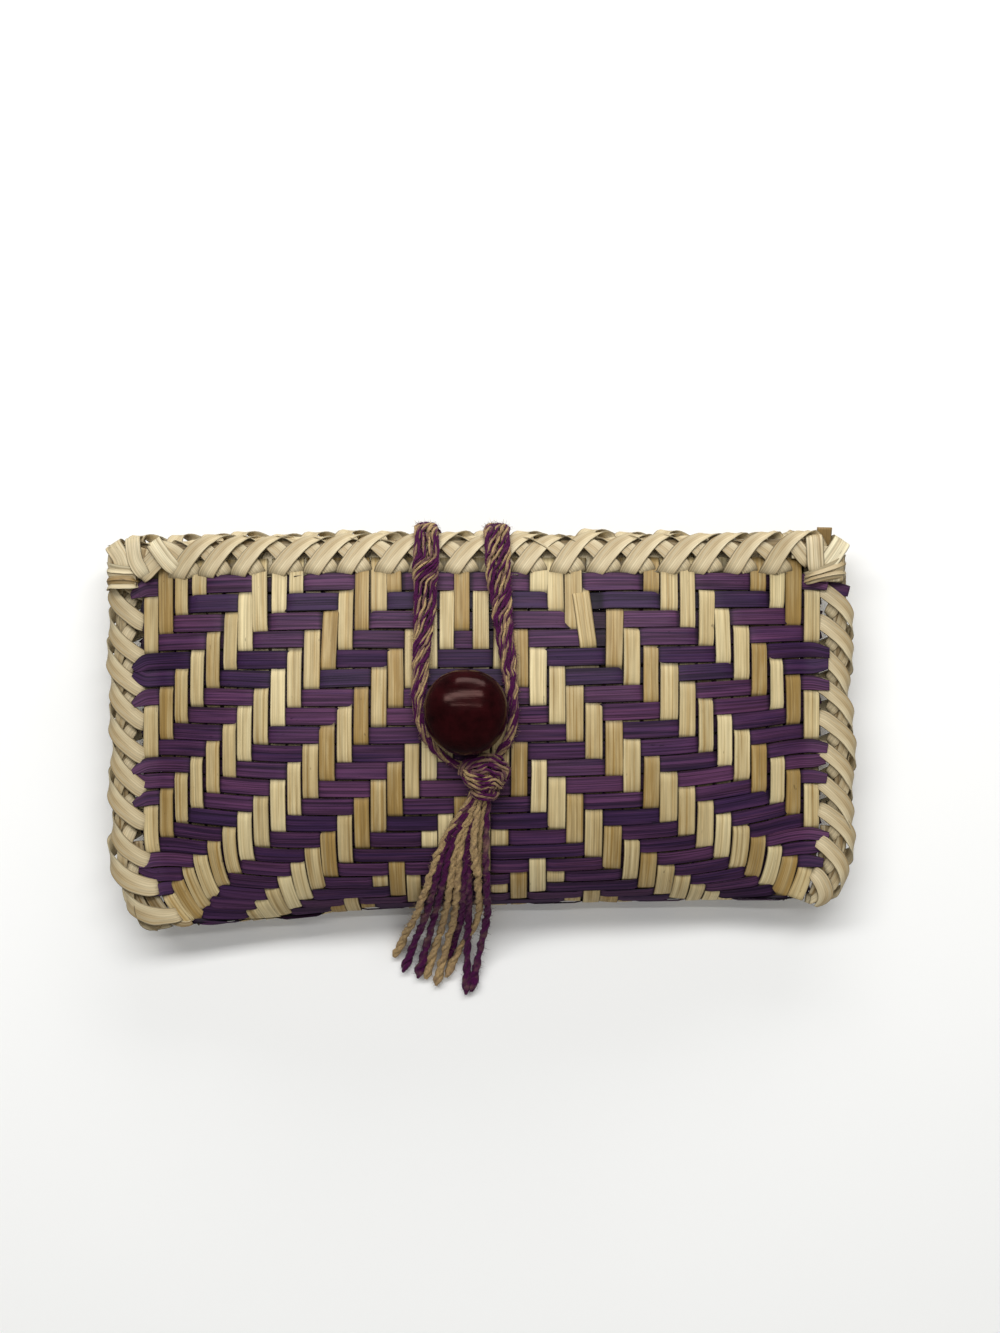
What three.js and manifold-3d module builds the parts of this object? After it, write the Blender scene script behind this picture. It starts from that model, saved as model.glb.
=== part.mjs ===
// Straw clutch bag, lying on its back. Millimetres: +X across the bag, +Y towards the mouth, +Z up.
// The origin is on the flat underside of the back wall, where the bag rests.
import * as THREE from 'three';
import { mergeVertices } from 'three/addons/utils/BufferGeometryUtils.js';
import Module from 'manifold-3d';

// Driving dimensions
const WALL = 1.6; // woven mat, two crossed straw strips
const GAP = 0.3; // clearance between neighbouring pieces
const LEAN_START = -38; // y below which the sides lean in towards the bottom corners
const LEAN_POWER = 2.2;
const ACROSS_STEPS = 30; // facets of the mat across the bag
const FRONT_STEPS = 18; // and from the front lip to the fold
const BACK_STEPS = 14; // and from the fold to the back lip
const SIDE_CROWDING = 0.6; // how much closer the facets lie near the sides
const RIM = { left: -131, right: 130.5, above: 9.8, lap: 4.7, half: 2.5, nose: 1.4 };
const LASHING = { lap: 2.5, leg: 1.5, width: 12, end: 6, taperPower: 6, steps: 28 };
const WRAP = { lap: 4.5, leg: 2.1, width: 12.6, height: 7, steps: 4 };
const BINDING_SHARES = { shoulder: 0.35, nose: 0.8, noseTall: 0.62 }; // roundness of its outer edge
const SEED = { x: -3.4, y: 3.5, across: 28.6, along: 29.2, thick: 19, fuller: 0.04, lift: 2.6, shank: 5 };
const CORD_FLAT = { halfWide: 4.6, halfThick: 1.3 }; // spread out where it is pulled over the rims
const CORD_ROUND = { halfWide: 3, halfThick: 2.5 }; // gathered beside the seed
const CORD_GATHERS = { from: 0.4, to: 0.75 }; // share of the leg's length
const CORD_STEPS = 42;
const CORD_SIDES = 10;
const KNOT = { x: 2.7, y: -18.2, across: 18, along: 14.4, thick: 11 };
const STRAND = { radius: 1.35, tip: 1.9, sides: 5, steps: 9 };

// Sections across the bag: x at mid height, how far the wall leans sideways by the bottom fold,
// y of the mouth's lip, y of the bottom fold, and how full the bag is there.
const SECTIONS = [
  { x: -118.5, lean: 15, lip: 55.4, fold: -73.5, full: 0 },
  { x: -112, lean: 13.8, lip: 55.7, fold: -73.2, full: 0.04 },
  { x: -95, lean: 11, lip: 56.3, fold: -72.6, full: 0.42 },
  { x: -70, lean: 6.5, lip: 56.7, fold: -70.9, full: 0.8 },
  { x: -42, lean: 1.2, lip: 57, fold: -68.8, full: 0.96 },
  { x: -5, lean: 0, lip: 57, fold: -67.4, full: 1 },
  { x: 35, lean: 0, lip: 57, fold: -66.2, full: 0.97 },
  { x: 70, lean: -1.6, lip: 57.2, fold: -65.4, full: 0.84 },
  { x: 98, lean: -5.2, lip: 57.4, fold: -64.8, full: 0.46 },
  { x: 115, lean: -5.8, lip: 57.5, fold: -64.6, full: 0.05 },
  { x: 121.5, lean: -6.2, lip: 57.5, fold: -64.6, full: 0 },
];

// Control points of the wall's outer profile, from the front lip round the fold to the back lip:
// share of the way from lip to fold, height where the bag is fullest, height at the side seams.
const FRONT_CURVE = [
  { share: 0, full: 30.5, seam: 21.6 },
  { share: 0.38, full: 47, seam: 19.8 },
  { share: 0.93, full: 51, seam: 19.8 },
  { share: 1, full: 10, seam: 17 },
];
const BACK_CURVE = [
  { share: 1, full: 10, seam: 17 },
  { share: 0.98, full: -5, seam: 14.2 },
  { share: 0.4, full: -8, seam: 14.2 },
  { share: 0, full: 11, seam: 12.4 },
];

// Route of each leg of the loop, from behind the back rim over the mouth and down the front wall.
// A row with z is a place in space, a row without lies on the front wall.
const LOOP_ROUTES = {
  loop_cord_left: [
    { x: -17.2, y: 44.5, z: 4.9 },
    { x: -17.2, y: 54.1, z: 5.5 },
    { x: -17.3, y: 62, z: 8.3 },
    { x: -17.4, y: 67, z: 11.6 },
    { x: -17.5, y: 68.3, z: 17 },
    { x: -17.5, y: 68.4, z: 24 },
    { x: -17.5, y: 67.1, z: 29.5 },
    { x: -17.5, y: 62, z: 32.8 },
    { x: -17.6, y: 54, z: 35.6 },
    { x: -17.8, y: 44 },
    { x: -18.4, y: 30 },
    { x: -19.4, y: 15 },
    { x: -20.2, y: 4 },
    { x: -19, y: -4 },
    { x: -15, y: -10.6 },
    { x: -9, y: -14.8 },
  ],
  loop_cord_right: [
    { x: 6.6, y: 44.5, z: 4.9 },
    { x: 6.6, y: 54.1, z: 5.5 },
    { x: 6.6, y: 62, z: 8.3 },
    { x: 6.7, y: 67, z: 11.6 },
    { x: 6.7, y: 68.3, z: 17 },
    { x: 6.8, y: 68.4, z: 24 },
    { x: 6.9, y: 67.1, z: 29.5 },
    { x: 7.1, y: 62, z: 32.8 },
    { x: 7.5, y: 54, z: 35.6 },
    { x: 8.2, y: 44 },
    { x: 9.8, y: 30 },
    { x: 11.6, y: 15 },
    { x: 12.8, y: 4 },
    { x: 12.6, y: -3 },
    { x: 10.6, y: -8.4 },
  ],
};

// Tassel strands: x half way down the wall, x where the strand leaves the bottom edge, and its tip.
const STRANDS = [
  { mid: -11.2, edge: -22, tipX: -30.3, tipY: -86.5 },
  { mid: -10.2, edge: -18.5, tipX: -27.1, tipY: -92 },
  { mid: -8, edge: -15.3, tipX: -21.6, tipY: -94.2 },
  { mid: -6.3, edge: -11.7, tipX: -18.7, tipY: -94.5 },
  { mid: -4.9, edge: -8.2, tipX: -15.1, tipY: -97 },
  { mid: -2.7, edge: -5.7, tipX: -10.4, tipY: -87.6 },
  { mid: -2, edge: -3.2, tipX: -4.2, tipY: -100.2 },
  { mid: 0.9, edge: 0.3, tipX: -11.5, tipY: -93.8 },
  { mid: 3.3, edge: 3.5, tipX: -2.4, tipY: -99.2 },
];
// Where the strands bend on their way down: places on the wall, the edge, and two places on the way to the tip.
const ON_WALL = { neckY: -25, midY: -41, lowY: -57, lowShare: 0.55 };
const OFF_EDGE = { y: -70, z: 17.5 };
const FALLING = [{ share: 0.45, z: 6.5 }, { share: 0.75, z: 2.6 }];

const STRAW = { color: 0xcfbd95, roughness: 0.62, metalness: 0 };
const PURPLE_WEAVE = { color: 0x5d4a5e, roughness: 0.6, metalness: 0 };
const DARK_SEED = { color: 0x2a0a0d, roughness: 0.28, metalness: 0 };
const PURPLE_YARN = { color: 0x55205a, roughness: 0.9, metalness: 0 };

const wasm = await Module();
wasm.setup();
const bag = new THREE.Group();

function addPiece(name, geometry, finish) {
  const mesh = new THREE.Mesh(geometry, new THREE.MeshStandardMaterial(finish));
  mesh.name = name;
  bag.add(mesh);
}

const mix = (a, b, share) => a + (b - a) * share;

// Smooth value of one column of the section table at x, carried on level past both ends.
function sectionValue(column, x) {
  const last = SECTIONS.length - 1;
  const at = THREE.MathUtils.clamp(x, SECTIONS[0].x, SECTIONS[last].x);
  let i = 0;
  while (i < last - 1 && at > SECTIONS[i + 1].x) i += 1;
  const slope = (k) => {
    const a = SECTIONS[Math.max(k - 1, 0)];
    const b = SECTIONS[Math.min(k + 1, last)];
    return (b[column] - a[column]) / (b.x - a.x);
  };
  const a = SECTIONS[i];
  const b = SECTIONS[i + 1];
  const run = b.x - a.x;
  const t = (at - a.x) / run;
  const ease = t * t * (3 - 2 * t);
  const bend = slope(i) * t * (1 - t) * (1 - t) - slope(i + 1) * t * t * (1 - t);
  return mix(a[column], b[column], ease) + bend * run;
}

const bezier = (a, b, c, d, t) => {
  const s = 1 - t;
  return a * s * s * s + 3 * b * s * s * t + 3 * c * s * t * t + d * t * t * t;
};

// Point of the mat's face: around runs from 0 at the front lip through 1 at the fold to 2 at the back lip.
// inset 0 gives the outer face and inset WALL the inner one.
function matPoint(x, around, inset) {
  const front = around <= 1;
  const curve = front ? FRONT_CURVE : BACK_CURVE;
  const lip = sectionValue('lip', x);
  const fold = sectionValue('fold', x);
  const full = sectionValue('full', x);
  const inward = front ? -inset : inset;
  const ys = curve.map((p) => mix(lip, fold + inset, p.share));
  const zs = curve.map((p) => mix(p.seam, p.full, full) + (p.share === 1 ? 0 : inward));
  const t = front ? around : around - 1;
  const y = bezier(...ys, t);
  const lean = THREE.MathUtils.clamp((LEAN_START - y) / (LEAN_START - fold), 0, 1) ** LEAN_POWER;
  const z = Math.max(bezier(...zs, t), inset);
  return new THREE.Vector3(x + sectionValue('lean', x) * lean, y, z);
}

// How far round the mat the given y lies, on the front or the back wall.
function aroundAt(x, y, front) {
  let low = front ? 0 : 1;
  let high = front ? 1 : 2;
  for (let i = 0; i < 24; i += 1) {
    const middle = (low + high) / 2;
    if ((matPoint(x, middle, 0).y > y) === front) low = middle;
    else high = middle;
  }
  return (low + high) / 2;
}

const frontHeight = (x, y) => matPoint(x, aroundAt(x, y, true), 0).z;
const backHeight = (x, y) => matPoint(x, aroundAt(x, y, false), 0).z;

// Closed geometry from vertices and four-cornered faces, turned so that its faces point out.
function closedGeometry(points, faces) {
  const position = new Float32Array(points.flatMap((p) => [p.x, p.y, p.z]));
  let volume = 0;
  for (const [a, b, c] of faces) {
    volume += points[a].dot(points[b].clone().cross(points[c])) / 6;
  }
  const index = faces.flatMap(([a, b, c]) => (volume > 0 ? [a, b, c] : [a, c, b]));
  const geometry = new THREE.BufferGeometry();
  geometry.setAttribute('position', new THREE.BufferAttribute(position, 3));
  geometry.setIndex(index);
  geometry.computeVertexNormals();
  return geometry;
}

// Solid through a row of rings that all have the same flat outline order.
function loftRings(rings, outline) {
  const count = rings[0].length;
  const faces = [];
  for (let i = 0; i + 1 < rings.length; i += 1) {
    for (let k = 0; k < count; k += 1) {
      const a = i * count + k;
      const b = i * count + ((k + 1) % count);
      faces.push([a, b, b + count], [a, b + count, a + count]);
    }
  }
  const last = (rings.length - 1) * count;
  for (const [a, b, c] of THREE.ShapeUtils.triangulateShape(outline, [])) {
    const turn = THREE.ShapeUtils.isClockWise(outline) ? [a, b, c] : [a, c, b];
    faces.push(turn, [last + turn[0], last + turn[2], last + turn[1]]);
  }
  return closedGeometry(rings.flat(), faces);
}

// Places across the bag where the mat and its rims are sampled, closer together near the sides
function matStations() {
  const first = SECTIONS[0].x;
  const width = SECTIONS[SECTIONS.length - 1].x - first;
  return Array.from({ length: ACROSS_STEPS + 1 }, (_, i) => {
    const share = i / ACROSS_STEPS;
    return first + width * mix(share, (1 - Math.cos(Math.PI * share)) / 2, SIDE_CROWDING);
  });
}

// The woven mat: outer and inner faces, closed along both lips and both side edges
function bagBody() {
  const across = ACROSS_STEPS;
  const arounds = [];
  for (let k = 0; k <= FRONT_STEPS; k += 1) arounds.push(k / FRONT_STEPS);
  for (let k = 1; k <= BACK_STEPS; k += 1) arounds.push(1 + k / BACK_STEPS);
  const points = [];
  for (const inset of [0, WALL]) {
    for (const x of matStations()) {
      for (const around of arounds) points.push(matPoint(x, around, inset));
    }
  }
  const row = arounds.length;
  const layer = row * (across + 1);
  const faces = [];
  const quad = (a, b, c, d) => faces.push([a, b, c], [a, c, d]);
  for (let i = 0; i < across; i += 1) {
    for (let k = 0; k + 1 < row; k += 1) {
      const a = i * row + k;
      quad(a, a + 1, a + row + 1, a + row);
      quad(layer + a, layer + a + row, layer + a + row + 1, layer + a + 1);
    }
    const front = i * row;
    const back = front + row - 1;
    quad(front, front + row, layer + front + row, layer + front);
    quad(back, layer + back, layer + back + row, back + row);
  }
  for (let k = 0; k + 1 < row; k += 1) {
    const left = k;
    const right = across * row + k;
    quad(left, layer + left, layer + left + 1, left + 1);
    quad(right, right + 1, layer + right + 1, layer + right);
  }
  return closedGeometry(points, faces);
}

const NEAR_LIP = 0.01;

// Plaited edging over one lip of the mouth, with a slot that holds the lip
function rim(front) {
  const slot = WALL / 2 + GAP;
  const { above, lap, half, nose } = RIM;
  const outline = [
    [-lap, slot], [2 * GAP, slot], [2 * GAP, -slot], [-lap, -slot], [-lap, -half],
    [above - half, -half], [above - nose / 2, -nose], [above, 0],
    [above - nose / 2, nose], [above - half, half], [-lap, half],
  ].map(([along, out]) => new THREE.Vector2(along, out));
  const rings = [];
  for (const x of [RIM.left, ...matStations(), RIM.right]) {
    const lip = matPoint(x, front ? 0 : 2, WALL / 2);
    const nearLip = matPoint(x, front ? NEAR_LIP : 2 - NEAR_LIP, WALL / 2);
    const along = lip.clone().sub(nearLip).setX(0).normalize();
    const out = new THREE.Vector3(0, -along.z, along.y);
    rings.push(outline.map((p) => new THREE.Vector3(
      x,
      lip.y + along.y * p.x + out.y * p.y,
      lip.z + along.z * p.x + out.z * p.y,
    )));
  }
  return loftRings(rings, outline);
}

// Straw binding along a side edge from one y to another, with a slot that holds both walls.
// side is -1 on the left and 1 on the right, widthAt gives its width for the share of the way down.
function seamBinding(side, fromY, toY, { lap, leg, steps }, widthAt) {
  const edgeX = side < 0 ? SECTIONS[0].x : SECTIONS[SECTIONS.length - 1].x;
  const insideX = edgeX - side * lap;
  const edgePlace = (y) => matPoint(edgeX, aroundAt(edgeX, y, true), 0);
  const { shoulder, nose, noseTall } = BINDING_SHARES;
  const rings = [];
  let outline = [];
  for (let i = 0; i <= steps; i += 1) {
    const share = i / steps;
    const y = mix(fromY, toY, share);
    const edge = edgePlace(y);
    const ahead = edgePlace(y - 0.4).sub(edgePlace(y + 0.4)).setZ(0).normalize();
    const out = new THREE.Vector3(ahead.y, -ahead.x, 0).multiplyScalar(-side);
    const width = widthAt(share);
    const top = [edge.z, frontHeight(insideX, y)].map((z) => z + GAP);
    const low = [backHeight(edgeX, y), backHeight(insideX, y)].map((z) => z - GAP);
    const middle = (top[0] + low[0]) / 2;
    const tall = (top[0] - low[0]) / 2 + leg;
    outline = [
      [-lap, top[1]], [GAP, top[0]], [GAP, low[0]], [-lap, low[1]], [-lap, low[1] - leg],
      [width * shoulder, low[0] - leg], [width * nose, middle - tall * noseTall], [width, middle],
      [width * nose, middle + tall * noseTall], [width * shoulder, top[0] + leg], [-lap, top[1] + leg],
    ].map(([m, z]) => new THREE.Vector2(m, z));
    rings.push(outline.map((p) => edge.clone().setZ(p.y).addScaledVector(out, p.x)));
  }
  return loftRings(rings, outline);
}

function roundShape(radius, sides) {
  const shape = new THREE.Shape();
  for (let k = 0; k < sides; k += 1) {
    const angle = (2 * Math.PI * k) / sides;
    shape[k ? 'lineTo' : 'moveTo'](radius * Math.cos(angle), radius * Math.sin(angle));
  }
  return shape;
}

function tubeAlong(points, radius, sides, steps) {
  const extrudePath = new THREE.CatmullRomCurve3(points, false, 'centripetal');
  return new THREE.ExtrudeGeometry(roundShape(radius, sides), { steps, extrudePath, bevelEnabled: false });
}

// Cord section at a share of the leg's length: flat over the rims, round from the front wall down.
function cordSection(share) {
  const gathered = THREE.MathUtils.smoothstep(share, CORD_GATHERS.from, CORD_GATHERS.to);
  return {
    halfWide: mix(CORD_FLAT.halfWide, CORD_ROUND.halfWide, gathered),
    halfThick: mix(CORD_FLAT.halfThick, CORD_ROUND.halfThick, gathered),
  };
}

// One leg of the loop, its flat side kept towards what it lies on
function loopLeg(route) {
  const points = route.map(({ x, y, z }, i) => {
    const { halfThick } = cordSection(i / (route.length - 1));
    return new THREE.Vector3(x, y, z ?? frontHeight(x, y) + halfThick + 1.5 * GAP);
  });
  const path = new THREE.CatmullRomCurve3(points, false, 'centripetal');
  const outline = roundShape(1, CORD_SIDES).getPoints();
  const rings = [];
  for (let i = 0; i <= CORD_STEPS; i += 1) {
    const share = i / CORD_STEPS;
    const { halfWide, halfThick } = cordSection(share);
    const along = path.getTangentAt(share);
    const wide = new THREE.Vector3(1, 0, 0).addScaledVector(along, -along.x).normalize();
    const thick = along.clone().cross(wide);
    const centre = path.getPointAt(share);
    rings.push(outline.map((p) => centre.clone()
      .addScaledVector(wide, p.x * halfWide)
      .addScaledVector(thick, p.y * halfThick)));
  }
  return loftRings(rings, outline);
}

// Dark seed, a flattened ball that is a little fuller towards the mouth
function seedButton(baseHeight) {
  const geometry = new THREE.SphereGeometry(1, 24, 14);
  geometry.rotateX(Math.PI / 2);
  geometry.scale(SEED.across / 2, SEED.along / 2, SEED.thick / 2);
  const place = geometry.attributes.position;
  for (let i = 0; i < place.count; i += 1) {
    const fuller = 1 + SEED.fuller * (place.getY(i) / SEED.along);
    place.setX(i, place.getX(i) * fuller);
  }
  geometry.translate(SEED.x, SEED.y, baseHeight + SEED.lift + SEED.thick / 2);
  return geometry;
}

function seedShank(baseHeight) {
  const tall = SEED.lift - 2 * GAP;
  const geometry = new THREE.CylinderGeometry(SEED.shank / 2, SEED.shank / 2, tall, 12);
  geometry.rotateX(Math.PI / 2);
  geometry.translate(SEED.x, SEED.y, baseHeight + SEED.lift / 2);
  return geometry;
}

function solidOf(geometry) {
  const bare = geometry.clone();
  bare.deleteAttribute('normal');
  bare.deleteAttribute('uv');
  const merged = mergeVertices(bare, 1e-4);
  const vertProperties = new Float32Array(merged.attributes.position.array);
  const triVerts = new Uint32Array(merged.index.array);
  return new wasm.Manifold(new wasm.Mesh({ numProp: 3, vertProperties, triVerts }));
}

function geometryOf(solid) {
  const { vertProperties, triVerts } = solid.getMesh();
  const geometry = new THREE.BufferGeometry();
  geometry.setAttribute('position', new THREE.BufferAttribute(vertProperties, 3));
  geometry.setIndex(new THREE.BufferAttribute(triVerts, 1));
  geometry.computeVertexNormals();
  return geometry;
}

// Route of one strand: out of the knot, down the front wall, over the bottom edge and onto the floor
function strandPoints({ mid, edge, tipX, tipY }) {
  const lift = STRAND.radius + 2 * GAP;
  const { neckY, midY, lowY, lowShare } = ON_WALL;
  const lowX = mix(mid, edge, lowShare);
  return [
    [KNOT.x, KNOT.y, frontHeight(KNOT.x, KNOT.y) + KNOT.thick / 2],
    [KNOT.x - 1, neckY, frontHeight(KNOT.x, neckY) + 2 * lift],
    [mid, midY, frontHeight(mid, midY) + lift],
    [lowX, lowY, frontHeight(lowX, lowY) + 2 * lift],
    [edge, OFF_EDGE.y, OFF_EDGE.z],
    ...FALLING.map(({ share, z }) => [mix(edge, tipX, share), mix(OFF_EDGE.y, tipY, share), z]),
    [tipX, tipY, STRAND.tip],
  ].map((p) => new THREE.Vector3(...p));
}

// Knot of the loop with its yarn ends, joined into one body
function tassel() {
  const base = frontHeight(KNOT.x, KNOT.y) + GAP;
  const knot = new THREE.SphereGeometry(1, 16, 10);
  knot.scale(KNOT.across / 2, KNOT.along / 2, KNOT.thick / 2);
  knot.translate(KNOT.x, KNOT.y, base + KNOT.thick / 2);
  let solid = solidOf(knot);
  for (const strand of STRANDS) {
    const points = strandPoints(strand);
    const tip = new THREE.IcosahedronGeometry(STRAND.tip, 0);
    tip.translate(strand.tipX, strand.tipY, STRAND.tip);
    solid = solid.add(solidOf(tubeAlong(points, STRAND.radius, STRAND.sides, STRAND.steps)));
    solid = solid.add(solidOf(tip));
  }
  return geometryOf(solid);
}

addPiece('bag_body', bagBody(), PURPLE_WEAVE);
addPiece('rim_front', rim(true), STRAW);
addPiece('rim_back', rim(false), STRAW);

const sides = [['left', -1, 0], ['right', 1, SECTIONS.length - 1]];
for (const [name, side, row] of sides) {
  const wrapTop = SECTIONS[row].lip - RIM.lap - GAP;
  const wrapLow = wrapTop - WRAP.height;
  const lashingLow = SECTIONS[row].fold + 1;
  const taper = (share) => mix(LASHING.width, LASHING.end, share ** LASHING.taperPower);
  const wrap = seamBinding(side, wrapTop, wrapLow, WRAP, () => WRAP.width);
  const lashing = seamBinding(side, wrapLow - GAP, lashingLow, LASHING, taper);
  addPiece(`corner_wrap_${name}`, wrap, STRAW);
  addPiece(`side_lashing_${name}`, lashing, STRAW);
}

const seedBase = frontHeight(SEED.x, SEED.y);
addPiece('seed_button', seedButton(seedBase), DARK_SEED);
addPiece('seed_shank', seedShank(seedBase), PURPLE_YARN);
for (const [name, route] of Object.entries(LOOP_ROUTES)) addPiece(name, loopLeg(route), PURPLE_YARN);
addPiece('tassel', tassel(), PURPLE_YARN);

export default bag;
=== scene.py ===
import math
from functools import partial

import bpy
import numpy as np
from bpy.props import FloatProperty, FloatVectorProperty, IntProperty, PointerProperty
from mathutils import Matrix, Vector


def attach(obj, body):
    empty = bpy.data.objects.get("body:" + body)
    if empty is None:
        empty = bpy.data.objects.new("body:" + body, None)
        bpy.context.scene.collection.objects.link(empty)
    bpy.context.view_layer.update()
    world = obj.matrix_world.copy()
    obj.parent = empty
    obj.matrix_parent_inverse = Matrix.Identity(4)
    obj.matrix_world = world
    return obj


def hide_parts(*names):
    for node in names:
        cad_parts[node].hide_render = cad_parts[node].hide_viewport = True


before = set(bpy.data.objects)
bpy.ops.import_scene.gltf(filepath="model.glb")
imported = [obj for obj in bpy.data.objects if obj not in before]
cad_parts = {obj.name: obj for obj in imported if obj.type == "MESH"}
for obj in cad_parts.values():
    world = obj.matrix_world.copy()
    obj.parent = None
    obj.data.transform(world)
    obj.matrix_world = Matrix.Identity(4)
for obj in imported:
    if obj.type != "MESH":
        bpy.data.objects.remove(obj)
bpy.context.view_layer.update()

bl_info = {
    "name": "Straw clutch bag",
    "version": (1, 0, 0),
    "blender": (4, 5, 0),
    "location": "3D View > Sidebar > Straw bag",
    "description": "Weaves, edges and trims a straw clutch bag around its packed solids",
    "category": "Add Mesh",
}

MM = 0.001
WHOLE_TURN = 2 * math.pi
UP = np.array((0.0, 0.0, 1.0))
# Steps between two given places of a smooth curve
STEPS_BETWEEN = 24

# Form of the folded mat, the same as in the solids.
# Columns: x at mid height, sideways lean at the fold, y of the lip, y of the fold, fullness.
SECTIONS = np.array([
    (-118.5, 15, 55.4, -73.5, 0),
    (-112, 13.8, 55.7, -73.2, 0.04),
    (-95, 11, 56.3, -72.6, 0.42),
    (-70, 6.5, 56.7, -70.9, 0.8),
    (-42, 1.2, 57, -68.8, 0.96),
    (-5, 0, 57, -67.4, 1),
    (35, 0, 57, -66.2, 0.97),
    (70, -1.6, 57.2, -65.4, 0.84),
    (98, -5.2, 57.4, -64.8, 0.46),
    (115, -5.8, 57.5, -64.6, 0.05),
    (121.5, -6.2, 57.5, -64.6, 0),
]) * [MM, MM, MM, MM, 1]
LEAN, LIP, FOLD, FULL = 1, 2, 3, 4
# Profile of the wall. Columns: share of the way from lip to fold, height where full, height at the seams.
FRONT_CURVE = np.array([(0, 30.5, 21.6), (0.38, 47, 19.8), (0.93, 51, 19.8), (1, 10, 17)]) * [1, MM, MM]
BACK_CURVE = np.array([(1, 10, 17), (0.98, -5, 14.2), (0.4, -8, 14.2), (0, 11, 12.4)]) * [1, MM, MM]
LEFT_EDGE, RIGHT_EDGE = SECTIONS[0, 0], SECTIONS[-1, 0]
WEAVE_INSET = 1.0 * MM
LEAN_START = -38 * MM
LEAN_POWER = 2.2
SEAM_HEIGHT = 17 * MM

# The weave: strips up and down the bag, rows round it, and the middle strip that the chevrons mirror about.
COLUMNS = 39
MIDDLE_COLUMN = 20
MIDDLE_X = -4.6 * MM
ROWS = 43
FOLD_ROW = 21.5
FIRST_ROW_DOWN = 5.4 * MM
ROW_CLOSING = 0.145
TWILL = 6
# Ends of the rows, which turn over the sides: where the turn starts and how far it goes, in places,
# how it rises, how much two rows close up and how much a row narrows there.
TURN_STARTS, TURN_SPAN = 0.8, 0.9
TURN_RISE, TURN_OVER = 0.9 * MM, 0.5 * MM
LEFT_CLOSING, RIGHT_CLOSING, CLOSING_POWER = 0.8, 0.35, 1.3
LEFT_TAPER, RIGHT_TAPER, TAPER_POWER = 0.66, 0.3, 1.5
# How far the rows reach past the last strip, in places.
LEFT_TIP, RIGHT_TIP, SHORT_TIP = 0.62, 0.46, 0.06
TIP_STEPS = np.array([1.0, 0.9, 0.68, 0.4, 0.16])
# How far the strips reach past the first and last row, in rows.
END_NEAR, END_FAR = 0.4, 0.85
# Height at which a strip begins to lie in shade, and over how much it goes dark, as shares of its ride.
DEEP_FROM, DEEP_OVER = 0.6, 1.0
# Rows press together along the fold and overlap inside it: how much wider, over how much of the way round,
# and the overlaps' reach, points, tone, inset and half width.
FOLD_WIDER, FOLD_SHARE = 0.12, 0.1
FOLD_REACH, FOLD_POINTS, FOLD_TONE = 0.3, 80, 0.8
FOLD_INSET, FOLD_HALF = 1.0 * MM, 2.6 * MM
# Strips that lean at the mouth: how many places the top end lies to the side.
LEANING_STRIPS = {27: -0.8, 12: 0.25, 33: 0.2, 8: -0.2}
LEAN_ROWS, LEAN_RISE = 6, 0.6 * MM
STRIP_TILT = 0.035
# How unlike the strips are: in lean and place, and in width along one strip and among them.
STRIP_LEAN, STRIP_WANDER = 0.07, 0.03
STRIP_UNEVEN, ROW_UNEVEN, STRIP_VARIES = 0.045, 0.03, 0.03
# The leaf's pattern starts this much further on in each next strip, in metres.
NEXT_STRIP = 0.3
# Rows near the bottom where the weaver left the chevron: how far out, and the strips that still lie on top.
LOOSE_ROWS = {16: (6, (1,)), 17: (7, (1, 4)), 19: (9, (2, 3, 4)), 20: (10, (3, 7)), 21: (5, ())}

# Route of each leg of the loop, from behind the back rim over the mouth and down the front, in mm.
# A row without a height lies on the front wall.
LOOP_ROUTES = {
    "left": [
        (-17.2, 44.5, 4.9), (-17.2, 54.1, 5.5), (-17.3, 62, 8.3), (-17.4, 67, 11.6), (-17.5, 68.3, 17),
        (-17.5, 68.4, 24), (-17.5, 67.1, 29.5), (-17.5, 62, 32.8), (-17.6, 54, 35.6), (-17.8, 44),
        (-18.4, 30), (-19.4, 15), (-19.8, 4), (-18, -3.4), (-14, -9.4), (-9, -13.4), (-4, -15.6),
    ],
    "right": [
        (6.6, 44.5, 4.9), (6.6, 54.1, 5.5), (6.6, 62, 8.3), (6.7, 67, 11.6), (6.7, 68.3, 17),
        (6.8, 68.4, 24), (6.9, 67.1, 29.5), (7.1, 62, 32.8), (7.5, 54, 35.6), (8.2, 44),
        (9.8, 30), (11.6, 15), (12.7, 4), (12, -3), (9.8, -8.2), (7, -12.4),
    ],
}
# Half width and half thickness of a leg over the mouth, beside the seed and at the knot, and where along it
# they change, as shares of a leg.
CORD_FLAT, CORD_ROUND, CORD_END = np.array(((4.6, 1.3), (3.0, 2.5), (1.7, 1.6))) * MM
CORD_GATHERS, CORD_THINS = (0.4, 0.75), (0.68, 0.92)
# Where the loop turns over the mouth and is drawn in: middle and spread, as shares of a leg, and how much.
CORD_CREST, CREST_NARROWER = (0.25, 0.05), 0.32
# Gaps that the yarns keep to the wall and the floor, the least way from a leg's middle to its yarns,
# and the radius of a hair.
CORD_CLEAR, FLOOR_CLEAR = 0.45 * MM, 0.1 * MM
LEAST_REACH, HAIR_RADIUS = 0.25 * MM, 0.07 * MM
CORD_POINTS = 150

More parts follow.
